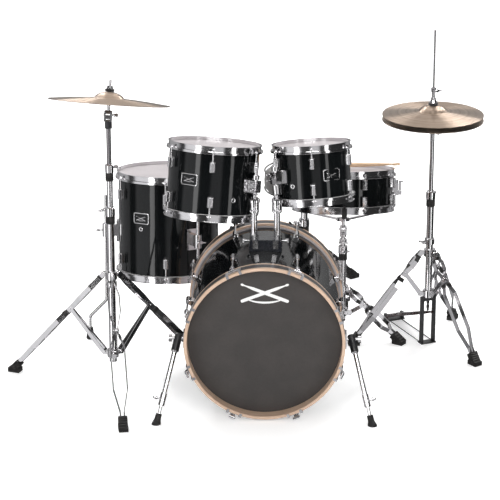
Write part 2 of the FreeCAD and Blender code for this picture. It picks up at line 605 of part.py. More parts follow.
def leg_pieces(stand):
    """One leg: two strips that bow apart above and below the knee, the knee pin and the rubber foot."""
    hub, knee, _, toe = tripod_geometry(stand)
    width, pin, pinch, bow = value("bar_width"), value("pin_radius"), value("bar_pinch"), value("bar_bow")
    line = (toe - hub).normalize()
    lift = Vector(-line.z, 0, line.x)
    end = toe - line * 14
    upper, whole = (knee - hub).Length, (end - hub).Length
    lower = whole - upper
    upper_bow = min(0.8 * bow, 0.2 * upper)
    stations = [(0, pinch), (0.12 * upper, pinch), (0.35 * upper, upper_bow), (0.65 * upper, upper_bow),
                (upper - 12, pinch), (upper + 12, pinch), (upper + 12 + 0.15 * lower, bow),
                (upper + 0.65 * lower, bow), (whole - 34, pinch), (whole, pinch)]
    hole = rod(knee - Vector(0, 20, 0), knee + Vector(0, 20, 0), pin + value("fit_gap"))
    strips = [drilled(strip, hole) for strip in strip_pair(hub, end, stations, width)]
    pin_piece = rod(knee - Vector(0, 11, 0), knee + Vector(0, 11, 0), pin)
    grip = Part.makeBox(46, 30, 24, Vector(-30, -15, -13))
    grip = moved(grip, Placement(toe, Rotation(line, Vector(0, 1, 0), lift, "XZY")))
    shoe = Part.makeBox(42, 32, 16, Vector(toe.x - 22, -16, 0))
    foot = grip.fuse(shoe).removeSplitter()
    floor = Part.makeBox(400, 200, 200, Vector(toe.x - 200, -100, -200))
    return strips + [pin_piece, drilled(foot, floor, *strips)]


def brace_pieces(stand):
    """One brace: two strips, outside the heel hub's ear at one end and inside the leg at the other."""
    _, knee, heel, _ = tripod_geometry(stand)
    length = (knee - heel).Length
    stations = [(0, 8.4), (22, 8.4), (length - 20, 1.7), (length, 1.7)]
    hole_radius = value("pin_radius + fit_gap")
    holes = [rod(point - Vector(0, 20, 0), point + Vector(0, 20, 0), hole_radius) for point in (knee, heel)]
    return [drilled(strip, *holes) for strip in strip_pair(heel, knee, stations, value("bar_width - 3"))]


def hub_collar(height, bore, half_ear, pinned):
    """A collar with three ears: the hub that the legs hang from, or the heel that the braces rise from."""
    reach, pin = value("hub_reach"), value("pin_radius")
    ring = rod(Vector(0, 0, height - 13), Vector(0, 0, height + 13), 19.5)
    ears = around(box_between(Vector(15, -half_ear, height - 7), Vector(reach + 7, half_ear, height + 7)), 3)
    collar = ring.fuse(ears).removeSplitter()
    if pinned:
        pins = around(rod(Vector(reach, -13, height), Vector(reach, 13, height), pin), 3)
        collar = collar.fuse(pins).removeSplitter()
    return collar.cut(rod(Vector(0, 0, height - 20), Vector(0, 0, height + 20), bore))


def stand_unit(stand):
    return Placement(floor_point(f"{stand}_x", f"{stand}_y"), Rotation(UP, value(f"{stand}_turn")))


def clamp_ring(top, bore, outer, outward, height=30.0):
    """The clamp at the top of a tube, with its wing bolt."""
    ring = lathe([(bore, top - height), (outer, top - height), (outer, top - 3), (outer - 3, top),
                  (bore, top)])
    bolt = wing_bolt(outward.normalize() * (outer + 0.05), outward, 8, 24)
    bolt.translate(Vector(0, 0, top - height / 2))
    return [ring, bolt]


def rigid_tripod(stand, node, tube_radius, column):
    """A tripod that stands open: its column, two hubs, three legs and three braces, as separate solids."""
    hub_height, heel_height = value(f"{stand}_hub"), value(f"{stand}_heel")
    bore = tube_radius + value("fit_gap")
    hubs = [hub_collar(hub_height, bore, 4.7, False), hub_collar(heel_height, bore, 8.0, True)]
    pieces = column + hubs
    for shape in leg_pieces(stand) + brace_pieces(stand):
        pieces += around(shape, 3)
    keep(group(node + "_pieces", pieces), node, stand_unit(stand))


# ---------------------------------------------------------------- crash stand

def crash_stand():
    """Three telescoping tubes on a tripod whose legs fold up around them."""
    unit = stand_unit("crash")
    hub, heel = value("crash_hub"), value("crash_heel")
    base_radius, middle_radius, upper_radius = value("base_tube"), value("middle_tube"), value("upper_tube")
    clear = value("fit_gap")
    base_top, middle_top = value("crash_base_top"), value("crash_middle_top")
    base = lathe([(middle_radius + clear, heel - 30), (base_radius, heel - 30),
                  (base_radius, base_top - 30.1),
                  (middle_radius + clear, base_top - 30.1)])
    stop = lathe([(base_radius + clear, hub - 40), (18, hub - 40), (18, hub - 22),
                  (base_radius + clear, hub - 22)])
    clamp = clamp_ring(base_top, middle_radius + clear, 17, Vector(1, 0, 0))
    heel_hub = hub_collar(heel, base_radius + clear, 8.0, True)
    keep(group("crash_base_pieces", [base, stop, heel_hub] + clamp), "crash_base", unit)
    middle = lathe([(upper_radius + clear, 330), (middle_radius, 330), (middle_radius, middle_top - 28.1),
                    (upper_radius + clear, middle_top - 28.1)])
    ring = clamp_ring(middle_top, upper_radius + clear, 14.5, Vector(-0.6, -0.8, 0), 28)
    keep(group("crash_middle_pieces", [middle] + ring), "crash_middle_tube", unit)

    collar = hub_collar(hub, base_radius + clear, 4.7, False)
    keep(group("crash_collar_piece", [collar]), "crash_collar", unit)
    for number in range(3):
        turn = Placement(Vector(), Rotation(UP, 120.0 * number))
        leg = [moved(shape, turn) for shape in leg_pieces("crash")]
        brace = [moved(shape, turn) for shape in brace_pieces("crash")]
        keep(group(f"crash_leg_{number + 1}_pieces", leg), f"crash_leg_{number + 1}", unit)
        keep(group(f"crash_brace_{number + 1}_pieces", brace), f"crash_brace_{number + 1}", unit)


def cymbal_outline(radius, rim):
    """A bronze bow rising from its rim to a bell, as (radius, height) corners from the rim upwards."""
    bell, hole = "bell_radius", "6"
    lower = [(radius, rim), (f"{radius} * 0.8", f"{rim} + bow_rise * 0.34"),
             (f"{radius} * 0.58", f"{rim} + bow_rise * 0.66"),
             (f"{radius} * 0.38", f"{rim} + bow_rise * 0.88"),
             (bell, f"{rim} + bow_rise"), (f"{bell} * 0.86", f"{rim} + bow_rise + bell_rise * 0.42"),
             (f"{bell} * 0.62", f"{rim} + bow_rise + bell_rise * 0.78"),
             (f"{bell} * 0.34", f"{rim} + bow_rise + bell_rise * 0.96"),
             (hole, f"{rim} + bow_rise + bell_rise")]
    upper = [(across, f"{height} + cymbal_steel") for across, height in reversed(lower)]
    return lower + upper


def crash_unit():
    """The frame of the crash cymbal: its origin is the tilter's pivot and its Z axis the cymbal's stem."""
    roll = Rotation(Vector(0, 1, 0), value("crash_roll"))
    lean = Rotation(Vector(1, 0, 0), value("-crash_lean"))
    return Placement(floor_point("crash_x", "crash_y", value("tilter_height")), roll.multiply(lean))


def crash_top():
    """Tilter with its stem, felts and wing nut, and the cymbal that turns on the stem."""
    unit = crash_unit()
    rim = value("crash_stem")
    bell = rim + value("bow_rise + bell_rise")
    top = bell + value("cymbal_steel")
    # the fork stands on the upper tube, and the ratchet wheel turns in it about the X axis
    fork_base = lathe([(0, -22), (10, -22), (10, -44), (value("upper_tube + fit_gap"), -44),
                       (value("upper_tube + fit_gap"), -46), (12, -46), (12, -20), (0, -20)])
    cheeks = [box_between(Vector(x - 3, -11, -21), Vector(x + 3, 11, 12)) for x in (-10, 10)]
    axle = rod(Vector(-16, 0, 0), Vector(16, 0, 0), 4)
    rolled = Placement(Vector(), Rotation(Vector(0, 1, 0), value("crash_roll")))
    fork = fork_base.fuse([moved(shape, rolled) for shape in cheeks + [axle]]).removeSplitter()
    bolt = moved(wing_bolt(Vector(16.05, 0, 0), Vector(1, 0, 0), 4, 22), rolled)
    low, high = 560 - value("tilter_height"), value("crash_upper_top - tilter_height")
    pipe = lathe([(0, low), (value("upper_tube"), low), (value("upper_tube"), high), (0, high)])
    upright = Placement(unit.Base, Rotation())
    keep(group("crash_upper_pieces", [pipe, fork, bolt]), "crash_upper_tube", upright)
    wheel = rod(Vector(-6.5, 0, 0), Vector(6.5, 0, 0), 15)
    stem = lathe([(0, 10), (5.5, 10), (5.5, bell - 9), (4, bell - 9), (4, top + 40), (0, top + 40)])
    axle = rod(Vector(-20, 0, 0), Vector(20, 0, 0), 4 + value("fit_gap"))
    tilter = drilled(wheel.fuse(stem).removeSplitter(), axle)
    cup = lathe([(4.05, bell - 9), (14, bell - 9), (16, bell - 6), (4.05, bell - 6)])
    lower_felt = lathe([(4.05, bell - 6), (15, bell - 6), (14, bell - 1.2), (4.05, bell - 1.2)])
    upper_felt = lathe([(4.05, top + 0.4), (15, top + 0.4), (16, top + 10), (4.05, top + 10)])
    nut = lathe([(4.05, top + 10.1), (11, top + 10.1), (9, top + 20), (4.05, top + 20)])
    keep(group("crash_tilter_pieces", [tilter, cup, lower_felt, upper_felt, nut]), "crash_tilter", unit)
    keep(turned("crash_cymbal_bow", cymbal_outline("crash_radius", "crash_stem")), "crash_cymbal", unit)


# ---------------------------------------------------------------- hi-hat

def hat_stand():
    """A tripod with a height tube, the pull rod with its chain, and the top cymbal on its clutch."""
    unit = stand_unit("hat")
    base_radius, upper_radius, clear = value("base_tube"), value("upper_tube"), value("fit_gap")
    base_top, seat = value("hat_base_top"), value("hat_seat")
    base = lathe([(upper_radius + clear, 165), (base_radius, 165), (base_radius, base_top - 28.1),
                  (upper_radius + clear, base_top - 28.1)])
    clamp = clamp_ring(base_top, upper_radius + clear, 17, Vector(-0.7, 0.7, 0), 28)
    memory = clamp_ring(value("hat_hub") + 55, base_radius + clear, 18, Vector(0, -1, 0), 22)
    rigid_tripod("hat", "hat_tripod", base_radius, [base] + clamp + memory)
    cup = lathe([(4, seat - 10), (9, seat - 10), (20, seat - 2), (20, seat + 1), (12, seat + 6),
                 (4, seat + 6)])
    pipe = lathe([(4, 300), (upper_radius, 300), (upper_radius, seat - 10), (4, seat - 10)])
    screw = wing_bolt(Vector(20.05, 0, seat - 0.5), Vector(1, 0, 0), 6, 10)
    keep(group("hat_upper_pieces", [cup.fuse(pipe).removeSplitter(), screw]), "hat_upper_tube", unit)
    rim, top_rim = value("hat_rim"), value("hat_rim + hat_gap")
    bottom = turned("hat_bottom_bow", cymbal_outline("hat_radius", "0"))
    upturned = Placement(Vector(0, 0, rim), Rotation(Vector(1, 0, 0), 180))
    keep(bottom, "bottom_hat_cymbal", unit.multiply(upturned))
    bell = top_rim + value("bow_rise + bell_rise")
    top = bell + value("cymbal_steel")
    top_bow = turned("hat_top_bow", cymbal_outline("hat_radius", "0"))
    doc.recompute()
    chain_top, free_end = 172.0, top + 72
    pull = lathe([(0, chain_top), (2.95, chain_top), (2.95, free_end), (3, free_end),
                  (3, value("hat_rod_top")), (0, value("hat_rod_top"))])
    links = chain(Vector(0, 0, chain_top - 0.5), Vector(0, 0, value("hat_toe") + 6))
    keep(group("hat_rod_pieces", [pull, links]), "hat_pull_rod", unit)
    clutch = lathe([(3.05, bell - 10), (5.5, bell - 10), (5.5, top + 48), (9, top + 48), (9, top + 62),
                    (3.05, top + 62)])
    lower_nut = lathe([(5.55, bell - 10), (11, bell - 10), (11, bell - 5), (5.55, bell - 5)])
    lower_felt = lathe([(5.55, bell - 5), (15, bell - 5), (15, bell - 1.2), (5.55, bell - 1.2)])
    upper_felt = lathe([(5.55, top + 0.1), (17, top + 0.1), (17, top + 9), (5.55, top + 9)])
    upper_nut = lathe([(5.55, top + 9.1), (13, top + 9.1), (9, top + 20), (9, top + 26), (5.55, top + 26)])
    bolt = wing_bolt(Vector(9.05, 0, top + 55), Vector(1, 0, 0), 6, 20)
    cymbal = moved(top_bow.Shape, Placement(Vector(0, 0, top_rim), Rotation()))
    pieces = [cymbal, clutch, lower_nut, lower_felt, upper_felt, upper_nut, bolt]
    keep(group("hat_clutch_pieces", pieces), "top_hat_cymbal", unit)


def hat_pedal_unit():
    """The hi-hat pedal's frame: origin under the stand's tube, X towards the heel."""
    return Placement(floor_point("hat_x", "hat_y"), Rotation(UP, value("hat_pedal_turn")))


def footboard(toe, heel, half_width, thick=6.0):
    """A ribbed board in the XZ plane of its pedal, narrow at the toe, hung on a heel pin."""
    line = heel - toe
    neck = half_width / 2
    corners = [(0, -neck), (30, -neck), (60, -half_width), (line.Length - 12, -half_width),
               (line.Length - 12, half_width), (60, half_width), (30, neck), (0, neck)]
    points = [Vector(x, y, 0) for x, y in corners]
    plate = Part.Face(Part.makePolygon(points + points[:1])).extrude(Vector(0, 0, thick))
    ribs = [box_between(Vector(x, -half_width * 0.8, thick), Vector(x + 4, half_width * 0.8, thick + 2))
            for x in range(66, int(line.Length) - 20, 18)]
    barrel = rod(Vector(line.Length, 14 - half_width, thick / 2),
                 Vector(line.Length, half_width - 14, thick / 2), 7)
    tongue = box_between(Vector(line.Length - 16, 14 - half_width, 0),
                         Vector(line.Length, half_width - 14, thick))
    bore = rod(Vector(line.Length, -half_width, thick / 2), Vector(line.Length, half_width, thick / 2),
               3 + value("fit_gap"))
    board = drilled(plate.fuse(ribs + [tongue, barrel]).removeSplitter(), bore)
    centred = Placement(Vector(0, 0, -thick / 2), Rotation())
    return moved(board, Placement(toe, Rotation(Vector(1, 0, 0), line)).multiply(centred))


def heel_plate(heel, half_width):
    """The plate on the floor that carries the heel pin of a pedal between two ears."""
    plate = box_between(heel + Vector(-14, -half_width, -heel.z), heel + Vector(20, half_width, 5 - heel.z))
    ears = [box_between(heel + Vector(-9, y, 5 - heel.z), heel + Vector(9, y + 9, 9))
            for y in (-half_width, half_width - 9)]
    pin = rod(heel - Vector(0, half_width - 2, 0), heel + Vector(0, half_width - 2, 0), 3)
    return plate.fuse(ears + [pin]).removeSplitter()


def chain(top, bottom, pitch=9.0):
    """A roller chain as a straight run of plates."""
    count = int((top - bottom).Length / pitch)
    step = (bottom - top) / count
    links = []
    for index in range(count):
        middle = top + step * (index + 0.5)
        wide = 4.5 if index % 2 else 3.0
        corner = Vector(3, wide, pitch / 2 + 0.4)
        links.append(box_between(middle - corner, middle + corner))
    return links[0].fuse(links[1:]).removeSplitter()


def hat_pedal():
    """Two frame plates down to the floor, radius rods to the heel plate, and the footboard."""
    unit = hat_pedal_unit()
    toe_height, length = value("hat_toe"), value("hat_board")
    toe = Vector(-8, 0, toe_height)
    heel = Vector(toe.x + math.sqrt(length ** 2 - (toe_height - 18) ** 2), 0, 18)
    half = 38.0
    plates = [box_between(Vector(-14, y, 4), Vector(12, y + 4, 176)) for y in (-26, 22)]
    bridge = box_between(Vector(-14, -26, 165.2), Vector(12, 26, 176))
    sole = box_between(Vector(-16, -30, 0), Vector(16, 30, 4))
    frame = plates[0].fuse([plates[1], bridge, sole]).removeSplitter()
    frame = frame.cut(rod(Vector(0, 0, 160), Vector(0, 0, 180), value("base_tube + fit_gap")))
    frame = frame.cut(rod(Vector(0, 0, 160), Vector(0, 0, 164), 6))
    ties = [rod(Vector(16, y, 2.2), Vector(heel.x - 14, y, 2.2), 2.2) for y in (-24, 24)]
    keep(group("hat_frame_pieces", [frame, heel_plate(heel, half)] + ties), "hat_pedal_frame", unit)
    keep(group("hat_board_piece", [footboard(toe, heel, half)]), "hat_footboard", unit)


# ---------------------------------------------------------------- snare and its stand

def snare_drum():
    """The snare drum, its strainer, throw-off lever and wires, and two sticks resting on it."""
    unit = rim_unit("snare", "snare_depth / 2 + hoop_rise")
    steel_drum("snare", unit, 34, first=-67.5)
    radius, half = value("snare_radius"), value("snare_depth / 2")
    gap = value("skin_gap")
    plate = box_between(Vector(radius - 3, -14, -34), Vector(radius + 6, 14, 34))
    plate = plate.cut(rod(Vector(0, 0, -40), Vector(0, 0, 40), radius + gap))
    body = box_between(Vector(radius + 5, -11, -22), Vector(radius + 20, 11, 20))
    axle = rod(Vector(radius + 26, -13, -12), Vector(radius + 26, 13, -12), 3)
    ears = [box_between(Vector(radius + 18, y, -19), Vector(radius + 32, y + 4, -5)) for y in (-13, 9)]
    knob = rod(Vector(radius + 12, 0, 20), Vector(radius + 12, 0, 34), 7)
    strainer = plate.fuse([body, axle, knob] + ears).removeSplitter()
    butt = moved(plate.fuse(body).removeSplitter(), Placement(Vector(), Rotation(UP, 180)))
    wires = [rod(Vector(-130, y, -half - 3), Vector(130, y, -half - 3), 0.9) for y in range(-20, 21, 4)]
    clips = [box_between(Vector(x - 8, -23, -half - 5), Vector(x + 8, 23, -half - 2))
             for x in (-138.2, 138.2)]
    keep(group("strainer_pieces", [strainer, butt] + wires + clips), "snare_strainer", unit)
    lever = box_between(Vector(radius + 22, -8.5, -16), Vector(radius + 30, 8.5, 30))
    tip = box_between(Vector(radius + 24, -8.5, 26), Vector(radius + 38, 8.5, 31))
    lever = drilled(lever.fuse(tip).removeSplitter(),
                    rod(Vector(radius + 26, -20, -12), Vector(radius + 26, 20, -12), 3 + value("fit_gap")))
    keep(group("throw_off_piece", [lever]), "snare_throw_off", unit)
    rest = half + value("hoop_rise") + 7.3
    sticks = []
    for offset, turn in ((-30, 16.0), (30, 9.0)):
        stick = lathe([(0, 0), (6, 1.5), (7, 6), (7, 280), (3.2, 372), (3, 380), (4.8, 388), (4.6, 398),
                       (0, 404)])
        flat = Rotation(UP, turn).multiply(Rotation(Vector(0, 1, 0), 90))
        lie = Placement(Vector(-188, offset, rest), flat)
        sticks.append(moved(stick, lie))
    keep(group("stick_pair", sticks), "drumsticks", unit)


def snare_stand():
    """A low tripod, a height tube, and a tilting basket whose three arms cradle the snare."""
    unit = stand_unit("cradle")
    base_radius, upper_radius, clear = value("base_tube"), value("upper_tube"), value("fit_gap")
    base_top, top = value("cradle_base_top"), value("cradle_top")
    base = lathe([(upper_radius + clear, 40), (base_radius, 40), (base_radius, base_top - 28.1),
                  (upper_radius + clear, base_top - 28.1)])
    clamp = clamp_ring(base_top, upper_radius + clear, 17, Vector(0.7, -0.7, 0), 28)
    rigid_tripod("cradle", "snare_stand_tripod", base_radius, [base] + clamp)
    # the height tube ends in a fork, and the basket's tilter turns in it about the X axis
    pipe = lathe([(0, 140), (upper_radius, 140), (upper_radius, top - 30), (12, top - 28), (12, top - 18),
                  (0, top - 18)])
    cheeks = [box_between(Vector(x - 3, -11, top - 19), Vector(x + 3, 11, top + 11)) for x in (-10, 10)]
    axle = rod(Vector(-16, 0, top), Vector(16, 0, top), 4)
    memory = clamp_ring(base_top + 26, upper_radius + clear, 14, Vector(0, -1, 0), 14)
    head = pipe.fuse(cheeks + [axle]).removeSplitter()
    keep(group("cradle_pipe_pieces", [head] + memory), "snare_stand_post",
         Placement(unit.Base, Rotation()))


def snare_basket():
    """Three arms that rise from the tilter and hold the lower hoop in rubber grips."""
    snare = rim_unit("snare", "snare_depth / 2 + hoop_rise")
    top = value("cradle_top")
    pivot = Vector(value("cradle_x + kit_x"), value("cradle_y + kit_y"), top)
    bottom = value("-snare_depth / 2 - hoop_rise")
    middle = snare.multVec(Vector(0, 0, bottom - 34))
    wheel = rod(pivot - Vector(6.5, 0, 0), pivot + Vector(6.5, 0, 0), 15)
    wheel = wheel.cut(rod(pivot - Vector(20, 0, 0), pivot + Vector(20, 0, 0), 4 + value("fit_gap")))
    neck = rod(pivot + (middle - pivot).normalize() * 14, middle, 6)
    plate = moved(lathe([(0, -6), (24, -6), (24, 6), (0, 6)]), Placement(middle, snare.Rotation))
    holder = wheel.fuse([neck, plate]).removeSplitter()
    outside = value("snare_radius + flange_reach + hoop_steel") + 1.2
    arms = []
    for angle in (-90.0, 30.0, 150.0):
        turn = Placement(Vector(), Rotation(UP, angle))
        low, seat = bottom - 34, bottom - 7.5
        path = [Vector(23, 0, low), Vector(outside + 9, 0, seat - 1), Vector(outside + 9, 0, bottom + 34)]
        bar = bent_rod(path, 4.5, 14)
        grip = box_between(Vector(outside - 26, -9, seat - 4), Vector(outside + 16, 9, bottom - 0.4))
        back = box_between(Vector(outside, -9, seat), Vector(outside + 16, 9, bottom + 24))
        grip = grip.fuse(back).removeSplitter()
        grip = grip.cut(bar)
        arms += [moved(moved(shape, turn), snare) for shape in (bar, grip)]
    arms[0::2] = [bar.cut(holder) for bar in arms[0::2]]
    keep(group("basket_pieces", [holder] + arms), "snare_basket", HERE)


# ---------------------------------------------------------------- throne

def throne():
    """A round padded seat on a post that slides in a tripod."""
    unit = stand_unit("stool")
    outer, post, clear = value("stool_tube"), value("stool_post"), value("fit_gap")
    pipe = lathe([(post + clear, 60), (outer, 60), (outer, 262), (post + clear, 262)])
    clamp = clamp_ring(290, post + clear, 21, Vector(-1, 0, 0), 27.9)
    rigid_tripod("stool", "throne_tripod", outer, [pipe] + clamp)
    bottom = "seat_bottom"
    keep(turned("throne_post_bar", [
        ("0", "95"), ("stool_post", "95"), ("stool_post", f"{bottom} - 18"),
        ("stool_post + 12", f"{bottom} - 14"), ("seat_radius * 0.75", f"{bottom} - 4"),
        ("seat_radius * 0.75", f"{bottom} - 0.4"), ("0", f"{bottom} - 0.4")]),
        "throne_post", unit)
    rim = "seat_radius"
    keep(turned("seat_pad", [("0", bottom), (f"{rim} - 12", bottom), (rim, f"{bottom} + 14"),
                             (rim, f"{bottom} + seat_thick - 26"),
                             (f"{rim} - 10", f"{bottom} + seat_thick - 9"),
                             (f"{rim} - 34", f"{bottom} + seat_thick"),
                             ("0", f"{bottom} + seat_thick")]), "throne_seat", unit)


# ---------------------------------------------------------------- bass pedal

def bass_pedal():
    """A floor frame with two posts, the beater on its axle, and the footboard that pulls it."""
    unit = Placement(floor_point("0", "bass_pedal_y"), Rotation(UP, 90))
    axle, heel_x = value("bass_axle"), value("bass_heel_y - bass_pedal_y")
    heel = Vector(heel_x, 0, 18)
    sole = box_between(Vector(-62, -34, 0), Vector(20, 34, 5))
    posts = [box_between(Vector(-12, y, 5), Vector(12, y + 10, axle + 14)) for y in (-46, 36)]
    feet = box_between(Vector(-14, -50, 0), Vector(14, 50, 5))
    lip = box_between(Vector(-62, -22, 5), Vector(-49, 22, 7.7))
    frame = sole.fuse([feet, lip] + posts).removeSplitter()
    frame = frame.cut(rod(Vector(0, -60, axle), Vector(0, 60, axle), 5 + value("fit_gap")))
    ties = [rod(Vector(20, y, 2.2), Vector(heel.x - 14, y, 2.2), 2.2) for y in (-20, 20)]
    half = 28.0
    keep(group("bass_frame_pieces", [frame, heel_plate(heel, half)] + ties), "bass_pedal_frame", unit)

    lean = math.radians(30)
    up_the_arm = Vector(math.sin(lean), 0, math.cos(lean))
    tip = up_the_arm * value("beater_reach")
    shaft = rod(Vector(0, -50, 0), Vector(0, 50, 0), 5)
    cam = rod(Vector(0, -6, 0), Vector(0, 6, 0), 24)
    arm = rod(Vector(), tip + up_the_arm * 24, 3.5)
    across = Vector(-math.cos(lean), 0, math.sin(lean))
    felt = rod(tip - across * 16, tip + across * 30, 24)
    beater = shaft.fuse([cam, arm]).removeSplitter()
    felt = felt.cut(beater)
    lifted = [moved(shape, Placement(Vector(0, 0, axle), Rotation())) for shape in (beater, felt)]
    keep(group("beater_pieces", lifted), "bass_beater", unit)
    toe = Vector(-40, 0, 82)
    board = footboard(toe, heel, half)
    links = chain(Vector(-28, 0, axle - 4), Vector(-28, 0, 80))
    keep(group("bass_board_pieces", [board.fuse(links).removeSplitter()]), "bass_footboard", unit)


# ---------------------------------------------------------------- build and write

bass_drum()
tom_holder()
spur_brackets()
spur("left", -1)
spur("right", 1)
for side in ("left", "right"):
    tom_post(side)
    rack_tom(side)
floor_tom()
snare_drum()
snare_stand()
snare_basket()
crash_stand()
crash_top()
hat_stand()
hat_pedal()
throne()
bass_pedal()
doc.recompute()

for item in doc.Objects:
    if "Invalid" in item.State or "Error" in item.State:
        raise RuntimeError(f"{item.Label} failed: {item.State}")
for node in NODES:
    if node.Shape.isNull() or not node.Shape.isValid():
        raise RuntimeError(f"{node.Label} has no valid shape")

os.makedirs("parts", exist_ok=True)
for node in NODES:
    node.Shape.exportStep(f"parts/{node.Label}.step")
print(len(NODES), "nodes")
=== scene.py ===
import math

import bmesh
import bpy
from mathutils import Matrix, Vector


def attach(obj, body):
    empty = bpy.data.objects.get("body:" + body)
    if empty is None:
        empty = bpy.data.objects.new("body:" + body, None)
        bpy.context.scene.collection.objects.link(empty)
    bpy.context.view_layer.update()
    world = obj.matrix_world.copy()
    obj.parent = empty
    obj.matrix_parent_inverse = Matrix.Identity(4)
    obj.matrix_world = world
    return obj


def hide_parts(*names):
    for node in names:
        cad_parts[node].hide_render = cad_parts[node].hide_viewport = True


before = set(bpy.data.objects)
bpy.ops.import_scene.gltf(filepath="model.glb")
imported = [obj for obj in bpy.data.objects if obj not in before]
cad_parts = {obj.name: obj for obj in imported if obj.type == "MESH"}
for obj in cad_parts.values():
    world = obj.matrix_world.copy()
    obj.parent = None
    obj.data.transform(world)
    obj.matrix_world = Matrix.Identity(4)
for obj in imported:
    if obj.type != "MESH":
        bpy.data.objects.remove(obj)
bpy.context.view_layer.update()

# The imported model's origin lies under the middle of the whole kit, so KIT moves between them.
KIT = Vector((71.4, -687.7, 0.0))
MM = 0.001
UP = Vector((0, 0, 1))

# each drum: shell radius, depth, middle of its upper rim, and its lean towards +Y and +X in degrees
DRUMS = {
    "left_tom": (152.0, 229.0, (-172.0, 405.0, 849.0), 10.0, 4.0),
    "right_tom": (127.0, 178.0, (150.0, 390.0, 854.0), 10.0, -4.0),
    "floor_tom": (178.0, 356.0, (-355.0, 820.0, 627.0), 7.0, 0.0),
    "snare": (178.0, 128.0, (273.0, 900.0, 612.0), 12.0, 0.0),
}
HOOP_RISE = 12.3
# each stand: its foot on the floor, the turn of its first leg, hub and heel heights, and the feet's radius
STANDS = {
    "crash": (-523.0, 302.0, 159.0, 407.0, 125.0, 383.0),
    "hat": (580.0, 746.0, -54.0, 345.0, 190.0, 268.0),
    "stool": (135.0, 1300.0, 37.5, 205.0, 92.0, 245.0),
    "cradle": (274.0, 862.0, -33.0, 165.0, 75.0, 244.0),
}
HUB_REACH, TOE_HEIGHT, FOOT_REACH, FOOT_TOP = 30.0, 16.0, 30.4, 60.0
BASS_RADIUS, BASS_HEIGHT, BASS_DEPTH, HOOP_WIDTH, HOOP_SEAT = 254.0, 274.0, 429.0, 50.0, 8.0
BASS_MIDDLE = HOOP_WIDTH - HOOP_SEAT + BASS_DEPTH / 2
CRASH_PIVOT, CRASH_LEAN, CRASH_ROLL = (-523.0, 302.0, 970.0), 13.0, 4.0
CRASH_BELL, HAT_BELL, HAT_SEAT = 74.0, 888.0, 794.5
STEEL, STRIP_WIDTH, STRIP_PINCH, STRIP_BOW = 3.0, 17.0, 5.0, 22.0
SPUR_PIVOT, SPUR_FOOT = (290.0, 120.0, 250.0), (357.0, -22.0, 0.0)
HOLDER_MIDDLE, HOLDER_HALF, HOLDER_DEPTH = (0.0, 257.0), 54.0, 48.0
BASS_PEDAL, BASS_AXLE, BEATER_REACH, BEATER_LEAN = (0.0, 560.0), 165.0, 150.0, 30.0
HAT_PEDAL_TURN = 115.0
SEAT_RADIUS, SEAT_BOTTOM, SEAT_THICK = 160.0, 402.0, 98.0


def kit_point(x, y, z=0.0):
    return (Vector((x, y, z)) + KIT) * MM


# ---------------------------------------------------------------- materials

class Nodes:
    """A node tree, with short ways to add and join its nodes."""

    def __init__(self, tree):
        self.nodes, self.links = tree.nodes, tree.links

    def join(self, value, socket):
        """Give a socket either another node's output or a plain value."""
        if isinstance(value, bpy.types.NodeSocket):
            self.links.new(value, socket)
        else:
            socket.default_value = value

    def math(self, operation, *values):
        node = self.nodes.new("ShaderNodeMath")
        node.operation = operation
        for value, socket in zip(values, node.inputs):
            self.join(value, socket)
        return node.outputs[0]

    def vector(self, operation, *values):
        node = self.nodes.new("ShaderNodeVectorMath")
        node.operation = operation
        for value, socket in zip(values, node.inputs):
            self.join(value, socket)
        return node.outputs["Value"] if operation in ("LENGTH", "DOT_PRODUCT") else node.outputs[0]

    def spread(self, value, low, high, new_low, new_high, course="LINEAR"):
        """Carry a value from one range to another, held inside it."""
        node = self.nodes.new("ShaderNodeMapRange")
        node.interpolation_type = course
        for number, socket in zip((value, low, high, new_low, new_high), node.inputs):
            self.join(number, socket)
        return node.outputs[0]

    def mix(self, factor, first, second):
        node = self.nodes.new("ShaderNodeMix")
        node.data_type = "RGBA"
        self.join(factor, node.inputs["Factor"])
        for colour, socket in ((first, node.inputs["A"]), (second, node.inputs["B"])):
            self.join(colour if isinstance(colour, bpy.types.NodeSocket) else (*colour, 1.0), socket)
        return node.outputs["Result"]


